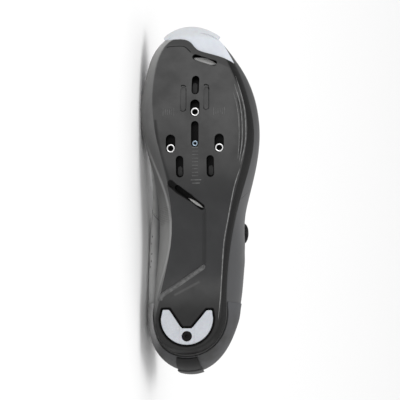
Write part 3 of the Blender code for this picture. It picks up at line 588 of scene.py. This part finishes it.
def surfaceFinder(piece):
    mesh = edited(piece)
    tree = BVHTree.FromBMesh(mesh)
    mesh.free()
    return tree


soleTree = surfaceFinder(soleBody)
soleDown = (shoe.to_3x3() @ Vector((0, 0, -1))).normalized()


def onSole(x, y):
    # the sole's underside below a place in the shoe, in millimetres
    start = inShoe(x, y, -40)
    hit = soleTree.ray_cast(start, -soleDown)
    return hit[0] if hit[0] else inShoe(x, y, 0)


# the bead along the flat's lateral edge, and the ribs beside it, painted light as painted highlights
lateralEdge = [  # photo pixels along the flat's lateral edge
    (228.3, 59.8), (233.9, 78.5), (240, 93), (244.2, 108.3), (246.2, 131.7), (245.6, 146), (240.5, 168),
    (236.5, 180), (233.2, 192.3), (228.3, 217.5), (223.7, 244.5), (221.6, 278), (220.2, 300), (218, 322),
]


def paintBead(name, tone):
    paint = Paint(name)
    wearAndHighlight = paint.noise(0.35, 3.0)
    colour = paint.mix(wearAndHighlight.fade(0.35, 0.65), grey(tone * 0.87), grey(tone * 1.08))
    paint.set(Base_Color=colour, Roughness=0.45, Specular_IOR_Level=0.15)
    return paint


def smoothPath(points, steps):
    points = [Vector(point) for point in points]
    points = [points[0] * 2 - points[1]] + points + [points[-1] * 2 - points[-2]]
    path = []
    for before, start, end, after in zip(points, points[1:], points[2:], points[3:]):
        for k in range(steps):
            t = k / steps
            turn = start * 2 + (end - before) * t
            turn += (before * 2 - start * 5 + end * 4 - after) * t**2
            path.append((turn + (start * 3 - before - end * 3 + after) * t**3) / 2)
    return path + [points[-2]]


beadTaper = 0.12  # the share of its length over which a bead's end thins out


def addBead(name, pixels, width, height, paint):
    # a low moulded bead that follows the underside, all sizes in millimetres
    places = smoothPath([(*fromPhoto(*pixel), 0) for pixel in pixels], 6)
    curve = bpy.data.curves.new(name, "CURVE")
    curve.dimensions = "3D"
    curve.bevel_depth = width / 2000
    curve.bevel_resolution = 2
    curve.use_fill_caps = True
    spline = curve.splines.new("POLY")
    spline.points.add(len(places) - 1)
    for k, (point, place) in enumerate(zip(spline.points, places)):
        sunk = onSole(place.x, place.y) - soleDown * (width / 2 - height) / 1000
        point.co = (*sunk, 1)
        ends = min(k, len(places) - 1 - k) / (len(places) * beadTaper)
        point.radius = 0.3 + 0.7 * min(1, ends)
    bead = bpy.data.objects.new(name, curve)
    bpy.context.scene.collection.objects.link(bead)
    selectOnly(bead)
    bpy.ops.object.convert(target="MESH")
    bpy.ops.object.shade_smooth()
    finishPiece(bead, paint, "sole_plastic")


def loopLine(px, top, bottom, half):
    # a slot's outline in photo pixels, with round ends
    ring = []
    for middle, start in ((top + half, 180), (bottom - half, 0)):
        for k in range(7):
            angle = math.radians(start + 30 * k)
            ring.append((px + half * math.cos(angle), middle + half * math.sin(angle)))
    return ring + ring[:1]


outerRib = [(235.5, 76), (241.6, 96), (244.9, 112), (245.9, 131.7), (245.0, 146), (240.7, 166)]
middleRib = [(234.5, 84), (239.3, 100), (241.6, 115), (242.5, 131.7), (241.8, 146), (239.3, 163)]
innerRib = [(233.2, 92), (236.6, 104), (238.6, 117), (239.3, 131.7), (239.0, 146), (237.9, 160)]
ridgeLine = [(204.2, 265), (203.4, 268), (201, 270.4), (176, 287.3), (164, 295), (161, 299), (160.2, 304)]
frontInner = [(164.5, 46.5), (170, 45), (183, 45), (188.5, 49), (192, 53)]
# painted light in the tones: the light beads are painted highlights on the ribs, the edge and the waist
# ridge; the dark ones are painted shade in the grooves, the slot mouths, between the ribs and along the
# front line
beadRows = {  # photo pixels, width, height and tone
    "edgeBead": (lateralEdge[6:], 0.9, 0.3, 120),
    "ribOuter": (outerRib, 1.0, 0.34, 112),
    "ribMiddle": (middleRib, 0.8, 0.3, 118),
    "ribInner": (innerRib, 0.8, 0.3, 108),
    "ribShade": ([(235.6, 90), (240.4, 112), (241.0, 131.7), (240.4, 146), (238.6, 160)], 0.8, 0.1, 14),
    "ribGap": ([(238.0, 88), (243.4, 112), (244.2, 131.7), (243.4, 146), (240.2, 162)], 0.8, 0.1, 14),
    "waistRidge": (ridgeLine, 6.0, 0.46, 92),
    "medialGroove": (loopLine(182.9, 84.5, 111, 3.0), 1.5, 0.09, 8),
    "lateralGroove": (loopLine(205.9, 84, 109.3, 2.8), 1.5, 0.09, 8),
    "medialMouth": ([(180.6, 86.4), (182.9, 85.0), (185.2, 86.4)], 1.9, 0.1, 8),
    "lateralMouth": ([(203.6, 86.0), (205.9, 84.6), (208.2, 86.0)], 1.9, 0.1, 8),
    "frontLine": (frontInner, 1.5, 0.09, 16),
}
for beadName, (pixels, beadWidth, beadHeight, beadTone) in beadRows.items():
    addBead(beadName, pixels, beadWidth, beadHeight, paintBead(beadName + "Paint", beadTone))

# small raised scales beside the cleat slots
scaleLook = {"height": 0.00012, "sideTone": 92, "centreTone": 94}


def addTicks(name, bars, tone):
    # each bar is its middle in photo pixels, and its size along and across the shoe in millimetres
    for k, (px, py, along, across) in enumerate(bars):
        x, y = fromPhoto(px, py)
        bpy.ops.object.select_all(action="DESELECT")
        bpy.ops.mesh.primitive_cube_add(size=1, location=(0, 0, 0))
        bar = bpy.context.object
        bar.scale = (along / 1000, across / 1000, scaleLook["height"] * 2)
        bpy.ops.object.transform_apply(scale=True)
        ground = unshoe @ onSole(x, y)
        bar.data.transform(shoe @ Matrix.Translation(ground))
        bar.name = f"{name}{k}"
    bpy.ops.object.select_all(action="DESELECT")
    parts = [bpy.data.objects[f"{name}{k}"] for k in range(len(bars))]
    for part in parts:
        part.select_set(True)
    bpy.context.view_layer.objects.active = parts[0]
    bpy.ops.object.join()
    joined = bpy.context.object
    joined.name = name
    finishPiece(joined, paintBead(name + "Paint", tone), "sole_plastic")


sideBars = []
for middle in (168.3, 219.2):
    for k in range(6):
        tall = 6.6 if k in (0, 5) else 4.6
        sideBars.append((middle - 5.4 + k * 2.16, 111.3, tall, 0.5))
addTicks("sideScale", sideBars, scaleLook["sideTone"])
centreBars = [(195.0, 147.5 + k * 3.55, 0.42, 5.0) for k in range(9)]
centreBars += [(196.0, 180.0, 0.75, 8.6), (196.0, 183.2, 0.75, 6.4)]
addTicks("centreScale", centreBars, scaleLook["centreTone"])

# toe bumper and heel tread
rubberLook = {"tone": 214, "tread": 202, "roughness": 0.55}


def paintRubber(name, tone, isTread):
    paint = Paint(name)
    cloud = paint.noise(0.12, 3.0)
    tint = (0.97, 0.985, 1.05)
    colour = paint.mix(cloud.fade(0.25, 0.75), grey(tone - 5, tint), grey(tone + 4, tint))
    if isTread:
        beside = 1 - paint.y.band(-1.0, 5.8, 0.35)
        seam = paint.y.band(-1.0, 6.3, 0.35) * beside * (1 - paint.x.fade(36, 37.5))
        colour = paint.mix(seam * 0.45, colour, grey(150, tint))
    else:
        # painted shade along the bumper's upturned top edge, broken up by noise
        edge = paint.noise(0.5, 2.0)
        rim = paint.z.fade(29, 35) * edge.fade(0.2, 0.7)
        colour = paint.mix(rim * 0.35, colour, grey(tone - 26))
        toeTip = paint.x.fade(273, 277) * 0.5
        colour = paint.mix(toeTip, colour, grey(tone - 14))
    if isTread:
        sparkle = paint.cells(1.9).fade(0.25, 0.6)
        colour = paint.mix(sparkle * 0.35, colour, grey(tone - 40, tint))
    paint.set(Base_Color=colour, Roughness=rubberLook["roughness"], Specular_IOR_Level=0.25)
    paint.set(Subsurface_Weight=0.06)
    grain = paint.cells(1.6 if isTread else 2.2)
    under = paint.bump(grain, 0.05, 0.35)
    paint.bump(paint.noise(0.5, 2.0), 0.25, 0.3, under)
    return paint


def makeRubber():
    bumper = copyOfNode("toe_bumper", "bumperBody", False)
    bevelled(bumper, 45)
    mergeCloseCorners(bumper, 0.00003)
    smoothByAngle(bumper, 40)
    finishPiece(bumper, paintRubber("whiteRubber", rubberLook["tone"], False), "white_rubber", "toe_bumper")
    tread = copyOfNode("heel_tread", "treadBody", False)
    smoothByAngle(tread, 30)
    finishPiece(tread, paintRubber("treadRubber", rubberLook["tread"], True), "white_rubber", "heel_tread")


makeRubber()

# upper
upperLook = {
    "medial": 212, "lateral": 61, "heel": 80, "roughness": 0.62,
}
creases = [  # place, direction along it, half length, half width and depth, in the shoe's millimetres
    ((208, -26, 52), (0.25, 1.0, 0.35), 22, 3.2, 0.7),
    ((216, 20, 48), (-0.15, 1.0, -0.4), 20, 3.0, 0.6),
    ((226, -8, 52), (0.1, 1.0, 0.0), 18, 2.6, 0.5),
    ((92, -38, 48), (0.35, 0.0, 1.0), 16, 5.0, 0.6),
    ((98, 38, 48), (0.4, 0.0, 1.0), 16, 5.0, 0.6),
    ((52, -34, 58), (1.0, 0.0, 0.25), 16, 4.0, 0.6),
    ((52, 30, 56), (1.0, 0.0, 0.25), 16, 4.0, 0.6),
]


def pressCreases(piece, rows):
    # soft troughs with a low ridge at each side, moved along the shoe's own outward direction
    mesh = edited(piece)
    middleHeight = 30
    for vert in mesh.verts:
        place = unshoe @ vert.co * 1000
        out = Vector((0, place.y, place.z - middleHeight)).normalized()
        moved = 0.0
        for spot, along, half, wide, depth in rows:
            run = Vector(along).normalized()
            away = place - Vector(spot)
            if away.length > half * 1.6:
                continue
            lengthwise = away.dot(run)
            normal = out.cross(run)
            if normal.length < 0.1:
                continue
            side = away.dot(normal.normalized()) / wide
            share = math.exp(-((lengthwise / half) ** 2) * 2)
            moved -= depth * share * (1 - 0.9 * side**2) * math.exp(-(side**2))
        if moved:
            vert.co += shoe.to_3x3() @ (out * moved / 1000)
    mesh.to_mesh(piece.data)
    mesh.free()


# photo pixels of the punched holes above the arch
sideHoles = [(152.5, 236.6), (151.6, 243.6), (151.8, 253.9), (151.3, 261.3), (150.7, 266.9)]


def paintUpper(tree):
    paint = Paint("coatedMicrofibre")
    x, y, z = paint.x, paint.y, paint.z
    medial = 1 - y.fade(-10, 6)
    lateral = grey(upperLook["lateral"], (0.97, 0.99, 1.06))
    # painted light: the low medial strip beside the floor is painted far lighter than the lateral side, to
    # make up for the floor's shade
    litLowSide = (1 - y.fade(-36, -27)) * (1 - x.fade(165, 200))
    base = paint.mix(litLowSide, lateral, grey(upperLook["medial"], (1.0, 1.0, 0.99)))
    # painted shade: the lateral forefoot is painted darker to hold back the toe lamp's light
    base = paint.mix((1 - medial) * x.fade(150, 225) * 0.7, base, grey(upperLook["lateral"] - 26))
    heel = 1 - x.fade(46, 62)
    base = paint.mix(heel, base, grey(upperLook["heel"]))
    cloud = paint.noise(0.06, 3.0)
    base = paint.mix(cloud.fade(0.3, 0.75) * 0.25, base, grey(upperLook["lateral"] - 12))
    # seams: where a line in the side view crosses the surface
    low, high = seenAt(tree, 158.3, 219.3), seenAt(tree, 152.7, 212.8)
    medialSeam = x - low.x - (z - low.z) * ((high.x - low.x) / (high.z - low.z))
    seams = medialSeam.band(0, 0.45, 0.25) * medial * z.fade(14, 20)
    lateralSeam = x - 150 - (z - 40) * 0.5
    seams = seams.higher(lateralSeam.band(0, 0.45, 0.25) * (1 - medial) * z.fade(16, 22))
    vampSeam = x - 232 + abs(y - 2) * 0.55
    seams = seams.higher(vampSeam.band(0, 0.45, 0.25) * z.fade(40, 46))
    stitches = seams * 0.0
    for seam, side in ((medialSeam, medial), (lateralSeam, 1 - medial), (vampSeam, z.fade(40, 46))):
        row = seam.band(1.7, 0.28, 0.12)
        dash = (z * 3.1 + y * 1.2).wave().fade(-0.2, 0.3)
        stitches = stitches.higher(row * dash * side * z.fade(14, 20))
    # punched vents in rows of five
    holes = seams * 0.0
    for pixel in sideHoles:
        spot = seenAt(tree, *pixel)
        away = ((x - spot.x) ** 2 + (z - spot.z) ** 2) ** 0.5
        holes = holes.higher((1 - away.fade(0.6, 1.0)) * medial)
    gridX = abs((x / 6.2).fraction() - 0.5) * 6.2
    gridZ = abs((z / 5.4).fraction() - 0.5) * 5.4
    field = x.band(196, 30, 3) * z.band(46, 9, 2) * abs(y).fade(18, 22)
    dots = (1 - ((gridX * gridX + gridZ * gridZ) ** 0.5).fade(0.55, 0.95)) * field
    holes = holes.higher(dots)
    colour = paint.mix(seams * 0.75, base, grey(46))
    colour = paint.mix(stitches * 0.8, colour, grey(70))
    colour = paint.mix(holes, colour, grey(16))
    _, ny, nz = paint.facing()
    inside = 1 - (ny * (y - 4) + nz * (z - 36)).fade(-0.5, 0.5)
    knit = (x * 4.2).wave() * (z * 4.2).wave()
    lining = paint.mix(knit.fade(-0.6, 0.6), grey(30), grey(46))
    colour = paint.mix(inside, colour, lining)
    paint.set(Base_Color=colour)
    nap = paint.noise(3.2, 2.0)
    paint.set(Roughness=upperLook["roughness"] + (nap - 0.5) * 0.16, Specular_IOR_Level=0.4)
    paint.set(Sheen_Weight=0.12, Sheen_Roughness=0.5)
    under = paint.bump(nap, 0.04, 0.55)
    under = paint.bump(paint.cells(1.1), 0.05, 0.3, under)
    under = paint.bump(stitches, 0.25, 0.7, under)
    paint.bump(1 - seams.higher(holes), 0.5, 0.9, under)
    return paint


def makeUpper():
    upper = copyOfNode("upper", "upperBody")
    softened(upper, 2, 55, 0.9)
    pressCreases(upper, creases)
    finishPiece(upper, paintUpper(surfaceFinder(upper)), "upper_microfibre", "upper")


makeUpper()


def paintKnit(name, tone, scale):
    paint = Paint(name)
    warp = (paint.x * scale).wave() * (paint.y * scale).wave()
    paint.set(Base_Color=paint.mix(warp.fade(-0.6, 0.6), grey(tone - 10), grey(tone + 8)), Roughness=0.85)
    paint.set(Sheen_Weight=0.2)
    under = paint.bump(warp.fade(-1, 1), 0.12, 0.5)
    paint.bump(paint.noise(0.2, 2.0), 0.6, 0.3, under)
    return paint


# the padded roll round the collar
collarRows = [  # along, across and height in millimetres, from the medial throat round the heel
    (121.5, -12.6, 97.0), (107.2, -23.0, 84.2), (84.4, -27.8, 71.8), (57.4, -27.0, 70.6),
    (36.4, -23.0, 76.0), (20.4, -13.6, 82.0), (14.8, -3.0, 84.6), (20.2, 8.4, 82.0), (36.2, 19.0, 74.6),
    (57.2, 26.8, 67.8), (83.8, 30.0, 67.4), (106.6, 26.6, 80.8), (122.6, 16.4, 95.6),
]


collarLook = {"radius": 0.0034, "taper": 10, "unevenness": 0.05, "tone": 52, "fill": 0.8}


def makeCollar():
    places = smoothPath([Vector(row) for row in collarRows], 8)
    curve = bpy.data.curves.new("collarRoll", "CURVE")
    curve.dimensions = "3D"
    curve.bevel_depth = collarLook["radius"]
    curve.bevel_resolution = 5
    curve.use_fill_caps = True
    spline = curve.splines.new("POLY")
    spline.points.add(len(places) - 1)
    for k, (point, place) in enumerate(zip(spline.points, places)):
        point.co = (*inShoe(*place), 1)
        fromEnd = min(k, len(places) - 1 - k) / collarLook["taper"]
        point.radius = 0.35 + 0.65 * min(1, fromEnd) + collarLook["unevenness"] * math.sin(k * 0.9)
    roll = bpy.data.objects.new("collarRoll", curve)
    bpy.context.scene.collection.objects.link(roll)
    selectOnly(roll)
    bpy.ops.object.convert(target="MESH")
    bpy.ops.object.shade_smooth()
    finishPiece(roll, paintKnit("collarKnit", collarLook["tone"], 4.0), "lining_fabric")


makeCollar()


# heel counter, strip and tab
def paintHeel(name, tone, roughness):
    paint = Paint(name)
    cloud = paint.noise(0.1, 3.0)
    lateral = paint.mix(cloud.fade(0.3, 0.7), grey(tone - 5), grey(tone + 5, (0.98, 0.99, 1.04)))
    lateral = paint.mix(paint.x.fade(34, 56), lateral, grey(tone + 6, (0.97, 0.99, 1.06)))
    # painted light: the medial side, in the floor's shade, is painted far lighter than the lateral side
    medial = paint.mix(cloud.fade(0.3, 0.7), grey(tone + 88), grey(tone + 100))
    paint.set(Base_Color=paint.mix((0 - paint.y).fade(18, 29) * paint.x.fade(14, 36), lateral, medial))
    nap = paint.noise(2.6, 2.0)
    paint.set(Roughness=roughness + (nap - 0.5) * 0.15, Specular_IOR_Level=0.25)
    under = paint.bump(nap, 0.04, 0.5)
    paint.bump(paint.cells(1.3), 0.05, 0.35, under)
    return paint


def taperFront(panel):
    # the counter thins out to its front edge, where a seam holds it down
    for vert in panel.data.vertices:
        place = unshoe @ vert.co * 1000
        share = min(1.0, max(0.0, (place.x - 44) / 12))
        out = Vector((0, place.y, 0.3 * (place.z - 30))).normalized()
        vert.co -= shoe.to_3x3() @ out * (0.00095 * share * share * (3 - 2 * share))


heelPieces = {
    "counterBody": ("heel_counter", 68, 0.62, "heel_microfibre"),
    "stripBody": ("heel_strip", 12, 0.55, "black_plastic"),
    "tabBody": ("heel_tab", 60, 0.6, "heel_microfibre"),
}
for pieceName, (nodeName, tone, roughness, slotName) in heelPieces.items():
    panel = copyOfNode(nodeName, pieceName)
    softened(panel, 2, 50, 0.7)
    if nodeName == "heel_counter":
        taperFront(panel)
    finishPiece(panel, paintHeel(pieceName + "Paint", tone, roughness), slotName, nodeName)


# tongue and insole
def makeInside():
    tongue = copyOfNode("tongue", "tongueBody")
    softened(tongue, 2, 55, 0.5)
    finishPiece(tongue, paintKnit("tongueMesh", 92, 4.0), "upper_microfibre", "tongue")
    insole = copyOfNode("insole", "insoleBody")
    softened(insole, 1, 55, 0.5)
    finishPiece(insole, paintKnit("insoleKnit", 58, 5.0), "lining_fabric", "insole")


makeInside()


# metal and hard trim
def paintMetal(name, tone, roughness):
    paint = Paint(name)
    paint.set(Base_Color=grey(tone), Metallic=1.0)
    brushed = paint.noise(1.5, 2.0)
    paint.set(Roughness=roughness + (brushed - 0.5) * 0.08)
    paint.bump(brushed, 0.01, 0.4)
    return paint


def paintPlastic(name, tone, roughness):
    paint = Paint(name)
    grain = paint.noise(2.5, 2.0)
    paint.set(Base_Color=paint.mix(grain.fade(0.3, 0.7), grey(tone * 0.88), grey(tone * 1.14)))
    paint.set(Roughness=roughness + (grain - 0.5) * 0.1, Specular_IOR_Level=0.15)
    paint.bump(grain, 0.03, 0.4)
    return paint


nutLook = {  # outer radius, bore, tone and tint
    "cleat_nut_front": (3.5, 2.1, 235, (1, 1, 1)), "cleat_nut_medial": (3.5, 2.1, 235, (1, 1, 1)),
    "cleat_nut_lateral": (3.5, 2.1, 235, (1, 1, 1)), "guide_nut": (2.4, 1.0, 170, (0.75, 0.95, 1.15)),
}


def paintNut(name, middle, bore, tone, tint):
    paint = Paint(name)
    offX, offY = paint.x - middle.x, paint.y - middle.y
    radius = (offX * offX + offY * offY) ** 0.5
    # painted shade: the bore is painted near black and not metallic, for the shade in its thread
    hole = 1 - radius.fade(bore + 0.15, bore + 0.45)
    paint.set(Base_Color=paint.mix(hole, grey(tone, tint), grey(14)), Metallic=1 - hole)
    brushed = paint.noise(1.5, 2.0)
    paint.set(Roughness=0.2 + hole * 0.4 + brushed * 0.06)
    paint.bump(brushed, 0.01, 0.4)
    return paint


threadLook = {"halfHeight": 1.8, "start": 0.35, "end": 0.5, "depth": 0.16, "pitch": 0.4}


def makeNut(nodeName, radius, bore, tone, tint):
    # a section turned about the nut's axis: rounded rim, chamfered mouth and a threaded bore
    mid = unshoe @ nodeMiddle(nodeName) * 1000
    low, high = mid.z - threadLook["halfHeight"], mid.z + threadLook["halfHeight"]
    depth = low + threadLook["start"]
    section = [(radius, high), (radius, depth), (radius - 0.12, low + 0.1), (radius - 0.4, low)]
    section += [(bore + 0.55, low), (bore + 0.2, low + 0.2)]
    while depth < high - threadLook["end"]:
        section += [(bore + threadLook["depth"], depth), (bore, depth + threadLook["pitch"] / 2)]
        depth += threadLook["pitch"]
    section += [(bore, high)]
    mesh = bpy.data.meshes.new(nodeName + "Turned")
    ring = [(k, (k + 1) % len(section)) for k in range(len(section))]
    mesh.from_pydata([(radius, 0, height) for radius, height in section], ring, [])
    nut = bpy.data.objects.new(nodeName + "Turned", mesh)
    bpy.context.scene.collection.objects.link(nut)
    selectOnly(nut)
    bpy.ops.object.mode_set(mode="EDIT")
    bpy.ops.mesh.select_all(action="SELECT")
    bpy.ops.mesh.spin(steps=40, angle=math.tau, center=(0, 0, 0), axis=(0, 0, 1))
    bpy.ops.mesh.select_all(action="SELECT")
    bpy.ops.mesh.remove_doubles(threshold=0.001)
    bpy.ops.mesh.normals_make_consistent(inside=False)
    bpy.ops.object.mode_set(mode="OBJECT")
    nut.data.transform(shoe @ Matrix.Scale(0.001, 4) @ Matrix.Translation((mid.x, mid.y, 0)))
    smoothByAngle(nut, 50)
    finishPiece(nut, paintNut(nodeName + "Steel", mid, bore, tone, tint), "bright_steel", nodeName)


for nodeName, (radius, bore, tone, tint) in nutLook.items():
    makeNut(nodeName, radius, bore, tone, tint)


def paintVentMesh(name, start, end, wide, lit):
    # pale weave in a lens along the vent; the rest is painted near black as painted shade
    paint = Paint(name)
    length = math.hypot(end[0] - start[0], end[1] - start[1])
    stepX, stepY = (end[0] - start[0]) / length, (end[1] - start[1]) / length
    offX, offY = paint.x - start[0], paint.y - start[1]
    run = (offX * stepX + offY * stepY) / length
    side = abs(offX * stepY - offY * stepX)
    room = wide * (1 - ((run - lit[0]) / lit[1]) ** 2)
    lens = 1 - (side - room).fade(-0.3, 0.3)
    weave = (paint.x * 7.0).wave() * (paint.y * 7.0).wave()
    cloth = paint.mix(weave.fade(-0.3, 0.5), grey(186), grey(246, (1.0, 0.99, 0.97)))
    paint.set(Base_Color=paint.mix(lens, grey(3), cloth), Roughness=0.6, Specular_IOR_Level=0.15)
    paint.bump(weave.fade(-1, 1), 0.15, 0.7)
    return paint


def paintInnerPlate():
    # the plate behind the slots: painted near black as painted shade inside the slots, with paler oval studs
    paint = Paint("innerPlate")
    studs = paint.stroke([(194.4, 84), (194.4, 90.2)], 2.0, 0.3, 6.4)
    for line in ([(180, 168.5), (180, 173.5)], [(211, 168), (211, 173)]):
        studs = studs.higher(paint.stroke(line, 2.0, 0.3, 6.4))
    grain = paint.noise(1.4, 3.0)
    dark = paint.mix(grain.fade(0.3, 0.7), grey(2), grey(8))
    paint.set(Base_Color=paint.mix(studs, dark, grey(60)), Roughness=0.5, Specular_IOR_Level=0.1)
    paint.bump(studs, 0.4, 0.8)
    return paint


def dialFrame():
    # the knob's own frame, found from its node: its thinnest way is its axis
    places = np.array([tuple(vert.co) for vert in nodes["dial_knob"].data.vertices])
    middle = (places.min(axis=0) + places.max(axis=0)) / 2
    _, axes = np.linalg.eigh(np.cov((places - places.mean(axis=0)).T))
    up = Vector(axes[:, 0])
    if up.dot(Vector(middle) - inShoe(120, 5, 50)) < 0:
        up = -up
    across = up.orthogonal().normalized()
    turn = Matrix((across, up.cross(across), up)).transposed().to_4x4()
    turn.translation = Vector(middle)
    return turn


knobSection = [  # radius of the grooves, radius of the ridges and height, in millimetres
    (7.9, 8.0, -2.4), (8.2, 8.6, -2.1), (8.25, 8.8, -1.6), (8.25, 8.8, 1.0), (7.9, 8.3, 1.8),
    (7.2, 7.3, 2.3), (6.6, 6.6, 2.35), (6.2, 6.2, 2.0), (4.4, 4.4, 1.95), (4.1, 4.1, 2.25),
    (1.2, 1.2, 2.3), (0.9, 0.9, 1.9),
]


def makeKnob(paint):
    # a turned knob with finger ridges round its rim
    teeth = 36
    count = teeth * 4
    points, faces = [], []
    for low, high, height in knobSection:
        for k in range(count):
            radius = high if k % 4 in (1, 2) else low
            angle = math.tau * k / count
            points.append((radius * math.cos(angle), radius * math.sin(angle), height))
    for level in range(len(knobSection) - 1):
        for k in range(count):
            after = (k + 1) % count
            start = level * count
            faces.append((start + k, start + after, start + count + after, start + count + k))
    faces.append(tuple(reversed(range(count))))
    faces.append(tuple(range(len(points) - count, len(points))))
    mesh = bpy.data.meshes.new("dialKnob")
    mesh.from_pydata(points, [], faces)
    mesh.transform(dialFrame() @ Matrix.Scale(0.001, 4))
    knob = bpy.data.objects.new("dialKnob", mesh)
    bpy.context.scene.collection.objects.link(knob)
    smoothByAngle(knob, 40)
    finishPiece(knob, paint, "black_plastic", "dial_knob")


def dressHardNodes():
    black = paintPlastic("blackPlastic", 34, 0.42)
    screw = paintPlastic("blackSteel", 8, 0.35)
    plate = paintInnerPlate()
    frontEnds = fromPhoto(193.3, 56.6, 17.9), fromPhoto(217.1, 63.9, 17.9)
    waistEnds = fromPhoto(175, 189, 11.5), fromPhoto(206, 210, 11.5)
    frontMesh = paintVentMesh("frontWeave", *frontEnds, 2.4, (0.5, 0.5))
    waistMesh = paintVentMesh("waistWeave", *waistEnds, 1.0, (0.68, 0.24))
    steel = paintMetal("laceWire", 150, 0.3)
    looks = {
        "heel_screw": screw, "nut_plate": plate, "vent_mesh_front": frontMesh, "vent_mesh_waist": waistMesh,
        "dial_base": black, "lace_guide_upper_medial": black, "lace_guide_upper_lateral": black,
        "lace_guide_lower_medial": black, "lace_guide_lower_lateral": black, "wire_lace": steel,
    }
    for name, paint in looks.items():
        for materialSlot in nodes[name].material_slots:
            materialSlot.material = paint.material


dressHardNodes()
makeKnob(paintPlastic("knobPlastic", 30, 0.4))
print("hard trim dressed")
